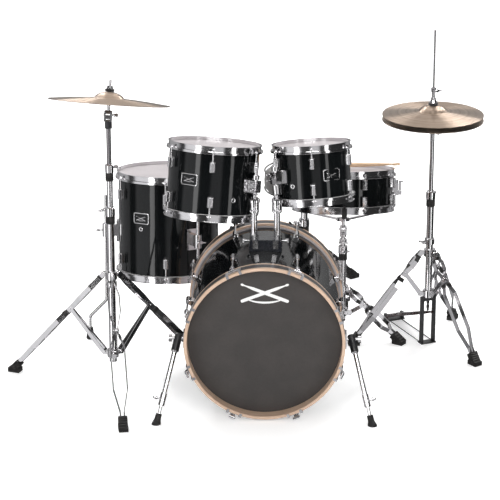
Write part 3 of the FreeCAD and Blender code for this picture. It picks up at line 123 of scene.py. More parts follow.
class Recipe(Nodes):
    """One material's nodes, round its Principled shader."""

    def __init__(self, name, colour=(0.8, 0.8, 0.8), **shader_values):
        self.material = bpy.data.materials.new(name)
        self.material.use_nodes = True
        super().__init__(self.material.node_tree)
        self.shader = self.nodes["Principled BSDF"]
        self.shader.inputs["Base Color"].default_value = (*colour, 1.0)
        for socket, number in shader_values.items():
            self.shader.inputs[socket.replace("_", " ")].default_value = number
        place = self.nodes.new("ShaderNodeTexCoord")
        self.place = place.outputs["Object"]
        self.height = None

    def scaled(self, factors, place=None):
        return self.vector("MULTIPLY", place or self.place, factors)

    def noise(self, scale, detail=3.0, place=None, roughness=0.5):
        node = self.nodes.new("ShaderNodeTexNoise")
        self.join(place or self.place, node.inputs["Vector"])
        node.inputs["Scale"].default_value = scale
        node.inputs["Detail"].default_value = detail
        node.inputs["Roughness"].default_value = roughness
        return node.outputs["Fac"]

    def cells(self, scale, place=None, feature="F1"):
        node = self.nodes.new("ShaderNodeTexVoronoi")
        node.feature = feature
        self.join(place or self.place, node.inputs["Vector"])
        node.inputs["Scale"].default_value = scale
        return node.outputs["Distance"]

    def colour(self, value):
        self.join(value, self.shader.inputs["Base Color"])
        return self

    def rough(self, value):
        self.join(value, self.shader.inputs["Roughness"])
        return self

    def bump(self, height, depth, strength=1.0):
        """Add relief of a depth in metres; several reliefs follow each other."""
        node = self.nodes.new("ShaderNodeBump")
        node.inputs["Distance"].default_value = depth
        node.inputs["Strength"].default_value = strength
        self.join(height, node.inputs["Height"])
        if self.height:
            self.links.new(self.height, node.inputs["Normal"])
        self.height = node.outputs["Normal"]
        self.links.new(self.height, self.shader.inputs["Normal"])
        return self

    def soft_edges(self, radius):
        """Catch light along hard edges, as a real rounded edge does."""
        node = self.nodes.new("ShaderNodeBevel")
        node.samples = 4
        node.inputs["Radius"].default_value = radius
        self.height = node.outputs["Normal"]
        self.links.new(self.height, self.shader.inputs["Normal"])
        return self


def chrome(name="chrome", colour=(0.74, 0.73, 0.74), low=0.085, high=0.19):
    """Plated steel: clear, with finger marks, fine wiping lines and a slight waviness."""
    recipe = Recipe(name, colour, Metallic=1.0)
    marks = recipe.noise(38, 5.0)
    recipe.rough(recipe.spread(marks, 0.35, 0.75, low, high))
    recipe.colour(recipe.mix(recipe.spread(recipe.noise(9), 0.3, 0.75, 0.0, 1.0),
                             colour, tuple(part * 0.9 for part in colour)))
    return recipe.bump(recipe.noise(55, 2.0), 0.00003).material


def black_wrap():
    """Gloss black drum covering: deep, with faint waves and dust-fine scuffs."""
    recipe = Recipe("black_wrap", (0.006, 0.007, 0.009), Specular_IOR_Level=0.34)
    deep, thin = (0.0035, 0.0042, 0.0045), (0.006, 0.007, 0.0078)
    scuffs = recipe.noise(420, 4.0, recipe.scaled((1.0, 1.0, 0.15)))
    recipe.rough(recipe.spread(scuffs, 0.45, 0.8, 0.05, 0.12))
    recipe.colour(recipe.mix(recipe.spread(recipe.noise(3.0), 0.4, 0.7, 0, 1), deep, thin))
    return recipe.bump(recipe.noise(14, 2.0), 0.0004).material


def maple():
    """Pinkish maple bent into a hoop, with a gloss black band let into its outer face."""
    recipe = Recipe("maple_hoop", (0.62, 0.42, 0.30), Coat_Weight=0.35, Coat_Roughness=0.12)
    centre = kit_point(0, BASS_MIDDLE, BASS_HEIGHT)
    split = recipe.nodes.new("ShaderNodeSeparateXYZ")
    recipe.join(recipe.vector("SUBTRACT", recipe.place, tuple(centre)), split.inputs[0])
    x, y, z = split.outputs
    turn = recipe.math("ARCTAN2", x, z)
    squares = recipe.math("ADD", recipe.math("MULTIPLY", x, x), recipe.math("MULTIPLY", z, z))
    reach = recipe.math("SQRT", squares)
    around = recipe.nodes.new("ShaderNodeCombineXYZ")
    recipe.join(recipe.math("MULTIPLY", turn, 0.6), around.inputs[0])
    recipe.join(recipe.math("MULTIPLY", reach, 40.0), around.inputs[1])
    recipe.join(recipe.math("MULTIPLY", y, 22.0), around.inputs[2])
    grain = recipe.noise(9.0, 8.0, around.outputs[0], 0.62)
    flecks = recipe.noise(60.0, 3.0, around.outputs[0])
    wood = recipe.mix(recipe.spread(grain, 0.35, 0.68, 0, 1), (0.70, 0.51, 0.385), (0.53, 0.36, 0.25))
    wood = recipe.mix(recipe.spread(flecks, 0.58, 0.75, 0, 0.5), wood, (0.42, 0.25, 0.16))
    hoop_middle = (BASS_DEPTH / 2 - HOOP_SEAT + HOOP_WIDTH / 2) * MM
    from_middle = recipe.math("SUBTRACT", recipe.math("ABSOLUTE", y), hoop_middle)
    in_band = recipe.math("LESS_THAN", recipe.math("ABSOLUTE", from_middle), 0.0155)
    outside = recipe.math("GREATER_THAN", reach, (BASS_RADIUS + 11.0) * MM)
    band = recipe.math("MULTIPLY", in_band, outside)
    recipe.colour(recipe.mix(band, wood, (0.008, 0.008, 0.010)))
    recipe.rough(recipe.spread(grain, 0.3, 0.7, 0.26, 0.42))
    return recipe.bump(grain, 0.0002).material


def film(name, colour, speckle, rough, depth):
    """A drum head's plastic film, with its sprayed or matt texture and worn playing marks."""
    recipe = Recipe(name, colour, Specular_IOR_Level=0.45)
    wear = recipe.noise(11.0, 6.0, None, 0.6)
    recipe.colour(recipe.mix(recipe.spread(wear, 0.42, 0.72, 0, 1), colour, speckle))
    recipe.rough(recipe.spread(recipe.noise(160, 3.0), 0.3, 0.7, rough - 0.06, rough + 0.08))
    return recipe.bump(recipe.noise(900, 2.0), depth).material


def bronze(name, centre, axis):
    """Lathed cymbal bronze about its own axis: turned grooves, tone rings and radial sheen."""
    recipe = Recipe(name, (0.66, 0.52, 0.33), Metallic=1.0, Anisotropic=0.95, Anisotropic_Rotation=0.25)
    tangent = recipe.nodes.new("ShaderNodeTangent")
    tangent.direction_type = "RADIAL"
    tangent.axis = "Z"
    recipe.join(tangent.outputs[0], recipe.shader.inputs["Tangent"])
    offset = recipe.vector("SUBTRACT", recipe.place, tuple(centre))
    along = recipe.vector("DOT_PRODUCT", offset, tuple(axis))
    total = recipe.vector("LENGTH", offset)
    reach = recipe.math("SQRT", recipe.math("SUBTRACT", recipe.math("MULTIPLY", total, total),
                                            recipe.math("MULTIPLY", along, along)))
    line = recipe.nodes.new("ShaderNodeCombineXYZ")
    recipe.join(reach, line.inputs[0])
    grooves = recipe.noise(900.0, 2.0, line.outputs[0])
    rings = recipe.noise(90.0, 3.0, line.outputs[0])
    hammered = recipe.cells(46.0, recipe.place)
    tone = recipe.mix(recipe.spread(rings, 0.35, 0.65, 0, 1), (0.44, 0.345, 0.275), (0.30, 0.230, 0.178))
    stain = recipe.spread(recipe.noise(7.0, 4.0), 0.5, 0.78, 0, 0.6)
    recipe.colour(recipe.mix(stain, tone, (0.24, 0.18, 0.135)))
    recipe.rough(recipe.spread(rings, 0.3, 0.7, 0.30, 0.38))
    recipe.bump(hammered, 0.0004)
    return recipe.bump(grooves, 0.00016).material


def black_rubber(name="black_rubber", rib_scale=0.0, direction=(0, 0, 1)):
    """Moulded rubber, dull and dusty, with ribs across a direction where asked."""
    recipe = Recipe(name, (0.022, 0.021, 0.021), Specular_IOR_Level=0.35)
    dust = recipe.noise(70, 6.0)
    clean, dusty = (0.016, 0.015, 0.015), (0.075, 0.070, 0.066)
    recipe.colour(recipe.mix(recipe.spread(dust, 0.5, 0.85, 0, 1), clean, dusty))
    recipe.rough(recipe.spread(dust, 0.3, 0.7, 0.5, 0.72))
    if rib_scale:
        along = recipe.vector("DOT_PRODUCT", recipe.place, direction)
        wave = recipe.math("SINE", recipe.math("MULTIPLY", along, 2 * math.pi / rib_scale))
        recipe.bump(wave, 0.0016)
    return recipe.bump(recipe.noise(700, 2.0), 0.0003).material


def black_plastic():
    recipe = Recipe("black_plastic", (0.016, 0.016, 0.018))
    recipe.soft_edges(0.0006)
    recipe.rough(recipe.spread(recipe.noise(120, 4.0), 0.3, 0.7, 0.3, 0.46))
    return recipe.bump(recipe.noise(800, 2.0), 0.0001).material


def powder_coat():
    """Black powder coat on pressed steel, with an orange-peel skin and rubbed spots."""
    recipe = Recipe("black_metal", (0.018, 0.018, 0.020), Specular_IOR_Level=0.6)
    recipe.soft_edges(0.0008)
    rubbed = recipe.noise(24, 6.0)
    fresh, bare = (0.016, 0.016, 0.018), (0.06, 0.058, 0.056)
    recipe.colour(recipe.mix(recipe.spread(rubbed, 0.62, 0.8, 0, 1), fresh, bare))
    recipe.rough(recipe.spread(rubbed, 0.3, 0.7, 0.28, 0.5))
    return recipe.bump(recipe.cells(900), 0.00025).material


def gloss_coat(name, tone):
    """Thick smooth enamel on cast metal, with faint flow marks and worn high spots."""
    recipe = Recipe(name, tone, Coat_Weight=0.4, Coat_Roughness=0.06, Specular_IOR_Level=0.6)
    recipe.soft_edges(0.0012)
    worn = recipe.noise(30, 6.0)
    lighter = tuple(part * 2.2 + 0.01 for part in tone)
    recipe.colour(recipe.mix(recipe.spread(worn, 0.58, 0.8, 0, 1), tone, lighter))
    recipe.rough(recipe.spread(worn, 0.3, 0.7, 0.16, 0.34))
    return recipe.bump(recipe.noise(60, 3.0), 0.00025).material


def piping_vinyl():
    """The darker vinyl cord of the seat's seams, with a fine grain."""
    recipe = Recipe("seat_piping", (0.06, 0.055, 0.052))
    grain = recipe.cells(700, None, "SMOOTH_F1")
    recipe.colour(recipe.mix(recipe.noise(90, 4.0), (0.050, 0.046, 0.043), (0.085, 0.078, 0.073)))
    recipe.rough(recipe.spread(grain, 0.0, 0.6, 0.55, 0.4))
    return recipe.bump(grain, 0.0003).material


def felt():
    recipe = Recipe("black_felt", (0.02, 0.02, 0.021), Sheen_Weight=0.4, Sheen_Roughness=0.5)
    recipe.rough(0.95)
    recipe.colour(recipe.mix(recipe.noise(240, 5.0), (0.010, 0.010, 0.011), (0.055, 0.053, 0.052)))
    return recipe.bump(recipe.noise(1500, 4.0), 0.0008).material


def white_felt():
    recipe = Recipe("pale_felt", (0.62, 0.60, 0.56), Sheen_Weight=0.4, Sheen_Roughness=0.5)
    recipe.rough(0.95)
    recipe.colour(recipe.mix(recipe.noise(90, 5.0), (0.50, 0.48, 0.45), (0.70, 0.68, 0.64)))
    return recipe.bump(recipe.noise(1300, 4.0), 0.0008).material


def seat_vinyl():
    """Grey-brown seat covering with a fine leather grain."""
    recipe = Recipe("seat_vinyl", (0.10, 0.095, 0.09), Sheen_Weight=0.25, Sheen_Roughness=0.4)
    grain = recipe.cells(420, None, "SMOOTH_F1")
    folds = recipe.noise(60, 5.0)
    pale, dark = (0.120, 0.113, 0.108), (0.078, 0.073, 0.070)
    recipe.colour(recipe.mix(recipe.spread(folds, 0.35, 0.7, 0, 1), pale, dark))
    recipe.rough(recipe.spread(grain, 0.0, 0.6, 0.62, 0.44))
    recipe.bump(folds, 0.0006)
    return recipe.bump(grain, 0.0005).material


def stick_wood():
    recipe = Recipe("stick_wood", (0.72, 0.50, 0.32), Coat_Weight=0.25, Coat_Roughness=0.2)
    grain = recipe.noise(60, 7.0, recipe.scaled((0.12, 1.0, 1.0)), 0.6)
    recipe.colour(recipe.mix(recipe.spread(grain, 0.35, 0.65, 0, 1), (0.78, 0.57, 0.38), (0.58, 0.38, 0.23)))
    recipe.rough(recipe.spread(grain, 0.3, 0.7, 0.35, 0.5))
    return recipe.bump(grain, 0.0002).material


def white_print():
    recipe = Recipe("white_print", (0.86, 0.86, 0.85))
    recipe.rough(recipe.spread(recipe.noise(300, 3.0), 0.3, 0.7, 0.4, 0.55))
    recipe.colour(recipe.mix(recipe.noise(60, 4.0), (0.88, 0.88, 0.87), (0.78, 0.78, 0.77)))
    return recipe.bump(recipe.noise(900, 2.0), 0.00005).material


def drum_matrix(name):
    """A drum's own frame, in metres: origin in the middle of its shell, Z along it to the upper rim."""
    radius, depth, rim, lean, roll = DRUMS[name]
    axis = Vector((math.tan(math.radians(roll)), math.tan(math.radians(lean)), 1.0)).normalized()
    middle = kit_point(*rim) - axis * (depth / 2 + HOOP_RISE) * MM
    return Matrix.Translation(middle) @ UP.rotation_difference(axis).to_matrix().to_4x4()


def crash_matrix():
    """The crash cymbal's own frame: origin at the tilter's axle, Z along its stem."""
    roll = Matrix.Rotation(math.radians(CRASH_ROLL), 4, "Y")
    lean = Matrix.Rotation(math.radians(-CRASH_LEAN), 4, "X")
    return Matrix.Translation(kit_point(*CRASH_PIVOT)) @ (roll @ lean)


def stand_matrix(name):
    x, y, turn = STANDS[name][:3]
    return Matrix.Translation(kit_point(x, y)) @ Matrix.Rotation(math.radians(turn), 4, "Z")


CRASH_AXIS = (crash_matrix().to_3x3() @ UP).normalized()
MATERIALS = {
    "chrome": chrome(),
    "dark_chrome": chrome("dark_chrome", (0.26, 0.25, 0.26), 0.06, 0.2),
    "black_wrap": black_wrap(),
    "maple_hoop": maple(),
    "batter": film("batter_film", (0.47, 0.435, 0.444), (0.41, 0.38, 0.388), 0.42, 0.00012),
    "clear_under": film("lower_film", (0.70, 0.69, 0.69), (0.62, 0.61, 0.61), 0.3, 0.00006),
    "front_head": film("front_film", (0.048, 0.043, 0.041), (0.060, 0.053, 0.050), 0.55, 0.00012),
    "crash_bronze": bronze("crash_bronze", crash_matrix().translation, CRASH_AXIS),
    "hat_bronze": bronze("hat_bronze", kit_point(*STANDS["hat"][:2]), UP),
    "black_rubber": black_rubber(),
    "ribbed_rubber": black_rubber("ribbed_rubber", 0.0065),
    "black_plastic": black_plastic(),
    "black_metal": powder_coat(),
    "holder_black": gloss_coat("holder_black", (0.010, 0.012, 0.018)),
    "board_black": gloss_coat("board_black", (0.030, 0.010, 0.011)),
    "seat_piping": piping_vinyl(),
    "black_felt": felt(),
    "pale_felt": white_felt(),
    "seat_vinyl": seat_vinyl(),
    "stick_wood": stick_wood(),
    "white_print": white_print(),
}


# ---------------------------------------------------------------- dressing the CAD nodes

def dress(node, *names):
    """Give a CAD node its materials, the first for all of it."""
    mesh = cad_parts[node].data
    mesh.materials.clear()
    for name in names:
        mesh.materials.append(MATERIALS[name])
    for face in mesh.polygons:
        face.material_index = 0
    return mesh


def dress_where(node, main, rules, place=Matrix.Identity(4)):
    """Give a CAD node one material, and others on the faces that pass a test.

    Each rule is a material and a test of a face's middle, in mm in the unit's own frame.
    """
    mesh = dress(node, main, *[name for name, _ in rules])
    back = place.inverted()
    for face in mesh.polygons:
        point = (back @ face.center) / MM
        for index, (_, test) in enumerate(rules, start=1):
            if test(point):
                face.material_index = index
                break


def ring_zone(low, high, inside=0.0, outside=1e6):
    """A test for the faces of something turned about Z, between two heights and two radii."""
    def test(point):
        return low < point.z < high and inside < math.hypot(point.x, point.y) < outside
    return test


def leg_faces(stand):
    """A test for the rubber foot of a folding stand's leg."""
    hub, spread = STANDS[stand][3], STANDS[stand][5]
    line = Vector((spread - HUB_REACH, TOE_HEIGHT - hub)).normalized()

    def test(point):
        turn = math.atan2(point.y, point.x)
        off = turn - round(turn / (2 * math.pi / 3)) * 2 * math.pi / 3
        reach = math.hypot(point.x, point.y) * math.cos(off)
        past = (reach - spread) * line.x + (point.z - TOE_HEIGHT) * line.y
        return past > -FOOT_REACH and point.z < FOOT_TOP
    return test


# The zones below are heights and radii in mm, each a little wider than the faces that it picks.

def dress_drums():
    """Wrap, chrome, film and maple for the drums, and rubber for their small parts."""
    for drum in DRUMS:
        dress(f"{drum}_shell", "black_wrap")
        dress(f"{drum}_hoops", "chrome")
        dress(f"{drum}_lugs", "chrome")
        lower = [("clear_under", lambda point: point.z < 0)]
        dress_where(f"{drum}_heads", "batter", lower, drum_matrix(drum))
    dress("bass_shell", "black_wrap")
    dress("bass_hoops", "maple_hoop")
    dress("bass_lugs", "chrome")
    middle = Matrix.Translation(kit_point(0, BASS_MIDDLE, BASS_HEIGHT))
    dress_where("bass_heads", "batter", [("front_head", lambda point: point.y < 0)], middle)
    dress("drumsticks", "stick_wood")
    dress("snare_strainer", "chrome")
    dress("snare_throw_off", "chrome")
    grips = ring_zone(-87.9, -52.2, 164.3)
    dress_where("snare_basket", "chrome", [("black_rubber", grips)], drum_matrix("snare"))
    holder = Matrix.Translation(kit_point(*HOLDER_MIDDLE))
    plates = [("chrome", lambda point: point.y < -HOLDER_DEPTH - 0.05 or abs(point.x) > HOLDER_HALF + 2.1)]
    dress_where("tom_holder", "holder_black", plates, holder)
    dress("spur_brackets", "chrome")
    for side, sign in (("left", -1), ("right", 1)):
        dress(f"{side}_tom_post", "chrome")
        matrix, length = spur_matrix(sign)
        rules = [("black_plastic", ring_zone(-44.5, 17, 9.0)),
                 ("black_rubber", ring_zone(-length - 30, 34.5 - length))]
        dress_where(f"{side}_spur", "chrome", rules, matrix)


def dress_stands():
    """Chrome for the stands, with their rubber feet, felts and cymbals."""
    for number in (1, 2, 3):
        foot = [("ribbed_rubber", leg_faces("crash"))]
        dress_where(f"crash_leg_{number}", "chrome", foot, stand_matrix("crash"))
        dress(f"crash_brace_{number}", "chrome")
    for node, stand in (("hat_tripod", "hat"), ("throne_tripod", "stool"), ("snare_stand_tripod", "cradle")):
        dress_where(node, "chrome", [("ribbed_rubber", leg_faces(stand))], stand_matrix(stand))
    for node in ("crash_base", "crash_middle_tube", "crash_collar", "snare_stand_post", "throne_post"):
        dress(node, "chrome")
    dress("hat_pull_rod", "dark_chrome")
    pivot = Matrix.Translation(kit_point(*CRASH_PIVOT))
    rules = [("black_plastic", ring_zone(-46.5, -21.5)), ("dark_chrome", ring_zone(-500, -46.6))]
    dress_where("crash_upper_tube", "chrome", rules, pivot)
    felts = [("black_plastic", ring_zone(CRASH_BELL - 9.1, CRASH_BELL - 6.05, 5.6)),
             ("black_felt", ring_zone(CRASH_BELL - 6.1, CRASH_BELL + 11.65, 4.01))]
    dress_where("crash_tilter", "chrome", felts, crash_matrix())
    dress("crash_cymbal", "crash_bronze")
    dress("bottom_hat_cymbal", "hat_bronze")
    top = HAT_BELL + 1.6
    rules = [("black_felt", ring_zone(HAT_BELL - 4.99, HAT_BELL - 1.19, 5.6, 15.1)),
             ("black_felt", ring_zone(top + 0.05, top + 9.05, 5.6, 17.1)),
             ("chrome", ring_zone(HAT_BELL - 10.1, HAT_BELL - 4.9, 0, 11.2)),
             ("chrome", ring_zone(top + 9.0, top + 90)), ("chrome", ring_zone(0, 2000, 0, 5.8))]
    dress_where("top_hat_cymbal", "hat_bronze", rules, stand_matrix("hat"))
    dress_where("hat_upper_tube", "chrome", [("black_felt", ring_zone(HAT_SEAT + 1.2, HAT_SEAT + 6.5, 4.2))],
                stand_matrix("hat"))
    for place in ("left", "front", "back"):
        dress_where(f"floor_tom_{place}_leg", "chrome", [("black_rubber", lambda point: point.z < 44.5)])


def in_felt(point):
    """Whether a point of the bass pedal's own frame is on the beater's felt."""
    lean = math.radians(BEATER_LEAN)
    arm, across = Vector((math.sin(lean), 0, math.cos(lean))), Vector((-math.cos(lean), 0, math.sin(lean)))
    offset = point - Vector((0, 0, BASS_AXLE)) - arm * BEATER_REACH
    return abs(offset.dot(arm)) < 24.1 and -16.1 < offset.dot(across) < 30.1 and abs(offset.y) < 24.1


def dress_pedals():
    """Black steel, enamelled boards and a felt beater for the two pedals."""
    bass = Matrix.Translation(kit_point(*BASS_PEDAL)) @ Matrix.Rotation(math.radians(90), 4, "Z")
    hat_turn = Matrix.Rotation(math.radians(HAT_PEDAL_TURN), 4, "Z")
    hat = Matrix.Translation(kit_point(*STANDS["hat"][:2])) @ hat_turn
    for frame_name, place in (("bass_pedal_frame", bass), ("hat_pedal_frame", hat)):
        ties = [("chrome", lambda point: point.z < 4.45 and point.x > 20.2 and 17 < abs(point.y) < 27)]
        dress_where(frame_name, "black_metal", ties, place)
    dress_where("bass_footboard", "board_black", [("chrome", lambda point: point.z > 84.6)], bass)
    dress("hat_footboard", "board_black")
    dress_where("bass_beater", "chrome", [("pale_felt", in_felt)], bass)


def spur_matrix(sign):
    """A spur's own frame, with Z up its tube from its pivot, and the length from pivot to floor."""
    pivot, ground = [Vector((sign * x, y, z)) for x, y, z in (SPUR_PIVOT, SPUR_FOOT)]
    turn = (-UP).rotation_difference(ground - pivot).to_matrix().to_4x4()
    return Matrix.Translation(kit_point(*pivot)) @ turn, (ground - pivot).length


dress_drums()
dress_stands()
dress_pedals()

# ---------------------------------------------------------------- shapes for new pieces

class Shape:
    """Points in millimetres and faces, gathered from several parts of one piece."""

    def __init__(self):
        self.points, self.faces = [], []

    def add(self, points, faces):
        first = len(self.points)
        self.points += [Vector(point) for point in points]
        self.faces += [[first + corner for corner in face] for face in faces]

    def piece(self, name, material, body, slot, place=Matrix.Identity(4), bevel=0.0, smooth=True):
        """Make the piece in a unit's own frame, and let it ride on a body."""
        mesh = bpy.data.meshes.new(name)
        mesh.from_pydata([place @ (point * MM) for point in self.points], [], self.faces)
        mesh.materials.append(MATERIALS[material])
        work = bmesh.new()
        work.from_mesh(mesh)
        bmesh.ops.recalc_face_normals(work, faces=work.faces)
        work.to_mesh(mesh)
        work.free()
        piece = bpy.data.objects.new(name, mesh)
        bpy.context.scene.collection.objects.link(piece)
        if smooth:
            mesh.shade_smooth()
        if bevel:
            rounding = piece.modifiers.new("rounding", "BEVEL")
            rounding.width = bevel * MM
            rounding.segments = 3
            rounding.limit_method = "ANGLE"
            rounding.angle_limit = math.radians(35)
            rounding.harden_normals = True
        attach(piece, body)
        return piece


def turned(outline, steps=48):
    """A closed outline of (radius, height) corners turned about Z."""
    count = len(outline)
    points = []
    for step in range(steps):
        turn = 2 * math.pi * step / steps
        points += [(radius * math.cos(turn), radius * math.sin(turn), height) for radius, height in outline]
    faces = []
    for step in range(steps):
        here, there = step * count, (step + 1) % steps * count
        faces += [(here + k, there + k, there + (k + 1) % count, here + (k + 1) % count)
                  for k in range(count)]
    return points, faces


def round_tube(ring_radius, tube_radius, height, steps=96, sides=12):
    """A ring of round cord lying flat at one height."""
    corners = [(ring_radius + tube_radius * math.cos(2 * math.pi * side / sides),
                height + tube_radius * math.sin(2 * math.pi * side / sides)) for side in range(sides)]
    return turned(corners, steps)


def slab(outline, low, high, lay):
    """A flat outline given thickness, with every (across, up, out) point laid in place by a function."""
    count = len(outline)
    points = [lay(across, up, out) for out in (low, high) for across, up in outline]
    faces = [tuple(reversed(range(count))), tuple(range(count, 2 * count))]
    faces += [(k, (k + 1) % count, count + (k + 1) % count, count + k) for k in range(count)]
    return points, faces


def rounded_rectangle(width, height, corner, steps=6):
    points = []
    for sign_x, sign_y, start in ((1, 1, 0), (-1, 1, 90), (-1, -1, 180), (1, -1, 270)):
        for step in range(steps + 1):
            turn = math.radians(start + 90 * step / steps)
            points.append((sign_x * (width / 2 - corner) + corner * math.cos(turn),
                           sign_y * (height / 2 - corner) + corner * math.sin(turn)))
    return points


# half widths along a drumstick of length 1, from its butt to its bead
STICK_PROFILE = [(-0.5, 0.018), (-0.485, 0.030), (-0.4, 0.033), (0.24, 0.031), (0.40, 0.013), (0.43, 0.013),
                 (0.452, 0.022), (0.48, 0.022), (0.5, 0.010)]


def emblem(width, flatness=0.42):
    """Flat outlines of a plain emblem: two crossed drumsticks over a crescent."""
    outlines = []
    for sign in (-1, 1):
        turn = math.radians(sign * 21)
        edge = STICK_PROFILE + [(along, -half) for along, half in reversed(STICK_PROFILE)]
        outlines.append([(sign * (x * math.cos(turn) - y * math.sin(turn)) * width,
                          sign * (x * math.sin(turn) + y * math.cos(turn)) * width) for x, y in edge])
    arc = [math.radians(214 + 112 * step / 20) for step in range(21)]
    outer = [(0.40 * math.cos(turn) * width, (0.40 * math.sin(turn) * flatness - 0.05) * width)
             for turn in arc]
    inner = [(0.40 * math.cos(turn) * width, (0.27 * math.sin(turn) * flatness - 0.065) * width)
             for turn in reversed(arc)]
    outlines.append(outer + inner[1:-1])
    return outlines


# ---------------------------------------------------------------- badges, vents and the front head's emblem

def on_shell(radius, angle, height):
    """A function that lays (across, up, out) on a round shell at an angle and a height."""
    def lay(across, up, out):
        turn = math.radians(angle) + across / radius
        return ((radius + out) * math.cos(turn), (radius + out) * math.sin(turn), height + up)
    return lay


def badge(drum, body, angle, height):
    """A black plate with a raised chrome border and emblem, curved to its shell."""
    radius = DRUMS[drum][0]
    lay, place = on_shell(radius, angle, height), drum_matrix(drum)
    rings = [(1.0, 0.05), (1.0, 1.5), (0.97, 2.1), (0.90, 2.1), (0.88, 1.3)]
    outline = rounded_rectangle(64.0, 40.0, 6.0)
    border = Shape()
    count = len(outline)
    points = [lay(across * scale, up * (1 - (1 - scale) * 1.5), out) for scale, out in rings
              for across, up in outline]
    loops = range(len(rings))
    faces = [(ring * count + k, ring * count + (k + 1) % count,
              (ring + 1) % len(rings) * count + (k + 1) % count, (ring + 1) % len(rings) * count + k)
             for ring in loops for k in range(count)]
    border.add(points, faces)
    border.piece(f"{drum}_badge_border", "chrome", body, "chrome", place)
    field = Shape()
    field.add(*slab(rounded_rectangle(57.0, 34.0, 4.0), 0.3, 1.35, lay))
    field.piece(f"{drum}_badge_field", "black_wrap", body, "black_wrap", place, smooth=False)
    mark = Shape()
    for rise, shape in enumerate(emblem(40.0)):
        mark.add(*slab(shape, 1.2, 1.9 + 0.2 * rise, lay))
    mark.piece(f"{drum}_badge_emblem", "chrome", body, "chrome", place, smooth=False)


def vent(drum, body, angle, height):
    """The eyelet round a shell's air hole, with a thin black disc inside it as painted shade for the hole.
    """
    radius = DRUMS[drum][0]
    eyelet = Shape()
    rim = [(3.6, -1.0), (8.0, -1.0), (8.6, 0.4), (8.0, 1.6), (6.6, 2.2), (5.0, 1.9), (3.6, 0.9)]
    eyelet.add(*turned(rim, 32))
    out_to = Matrix.Translation(Vector((radius, 0, height)) * MM)
    facing = Matrix.Rotation(math.radians(angle), 4, "Z") @ out_to
    place = drum_matrix(drum) @ facing @ Matrix.Rotation(math.radians(90), 4, "Y")
    eyelet.piece(f"{drum}_vent", "chrome", body, "chrome", place)
    # painted shade: a thin black disc on the shell stands in for the dark inside of the air hole
    hole_shade = Shape()
    hole_shade.add(*turned([(0.02, 0.1), (3.7, 0.1), (3.7, 0.5), (0.02, 0.5)], 24))
    hole_shade.piece(f"{drum}_vent_hole_shade", "black_plastic", body, "black_wrap", place, smooth=False)


def front_emblem():
    """The pale print high on the bass drum's front head."""
    film_face = BASS_MIDDLE - BASS_DEPTH / 2 - 0.8
    middle_height = BASS_HEIGHT + 166.0

    def lay(across, up, out):
        return (across, film_face - out, middle_height + up)
    print_layer = Shape()
    for rise, shape in enumerate(emblem(168.0)):
        print_layer.add(*slab(shape, 0.02, 0.22 + 0.08 * rise, lay))
    place = Matrix.Translation(KIT * MM)
    print_layer.piece("front_emblem", "white_print", "kit", "drum_head", place, smooth=False)


# ---------------------------------------------------------------- rubber on the stands

def sleeve(name, inner, outer, low, high, body, place):
    """A ribbed rubber sleeve on a tube, turned about Z."""
    outline = [(inner, low), (outer - 1.0, low), (outer, low + 1.0)]
    ribs = max(2, int((high - low) / 6))
    for rib in range(1, ribs):
        middle = low + (high - low) * rib / ribs
        outline += [(outer, middle - 1.3), (outer - 1.0, middle), (outer, middle + 1.3)]
    outline += [(outer, high - 1.0), (outer - 1.0, high), (inner, high)]
    shape = Shape()
    shape.add(*turned(outline, 40))
    shape.piece(name, "black_rubber", body, "black_metal", place, smooth=False)


def strip_band(start, end, along, side, slope, length):
    """A ribbed band round one strip of a stand's leg, in the stand's radial plane."""
    line = (end - start).normalized()
    lift = Vector((-line.z, 0, line.x))
    aside = Vector((0, 1, 0))
    run = (line * math.cos(slope) + aside * math.sin(slope) * (1 if side > 0 else -1)).normalized()
    out = run.cross(lift)
    middle = start + line * along + aside * side
    rings = []
    for step in range(9):
        grow = 1.0 if step % 2 else 0.86
        if step in (0, 8):
            grow = 0.8
        half_thick, half_wide = 1.5 + 1.3 * grow, STRIP_WIDTH / 2 + 1.3 * grow
        centre = middle + run * length * (step / 8 - 0.5)
        rings.append([centre + out * x * half_thick + lift * y * half_wide
                      for x, y in ((1, 1), (-1, 1), (-1, -1), (1, -1))])
    points = [point for ring in rings for point in ring]
    faces = [(0, 1, 2, 3), (35, 34, 33, 32)]
    faces += [(ring * 4 + k, ring * 4 + (k + 1) % 4, ring * 4 + 4 + (k + 1) % 4, ring * 4 + 4 + k)
              for ring in range(8) for k in range(4)]
    return points, faces


def leg_bands(stand, bodies):
    """Black bands on both strips of each leg, near the hub and below the knee."""
    _, _, _, hub_height, heel_height, spread = STANDS[stand]
    slope = (hub_height - TOE_HEIGHT) / (spread - HUB_REACH)
    half = (hub_height - heel_height) / 2
    hub = Vector((HUB_REACH, 0, hub_height))
    knee = Vector((HUB_REACH + half / slope, 0, hub_height - half))
    toe = Vector((spread, 0, TOE_HEIGHT))
    upper, lower = (knee - hub).length, (toe - knee).length - 14
    bow_run, bow_rise = 0.15 * lower, STRIP_BOW - STRIP_PINCH
    for number, body in enumerate(bodies):
        shape = Shape()
        for sign in (-1, 1):
            near = sign * (STRIP_PINCH + STEEL / 2)
            shape.add(*strip_band(hub, toe, 17.0, near, 0.0, 9.0))
            share = min(0.5, 13.0 / bow_run)
            out = sign * (STRIP_PINCH + STEEL / 2 + bow_rise * share)
            below_knee = upper + 12 + bow_run * share
            shape.add(*strip_band(hub, toe, below_knee, out, math.atan(bow_rise / bow_run), 15.0))
        place = stand_matrix(stand) @ Matrix.Rotation(2 * math.pi / 3 * number, 4, "Z")
        name = f"{stand}_leg_{number + 1}_bands"
        shape.piece(name, "black_rubber", body, "black_metal", place, smooth=False)


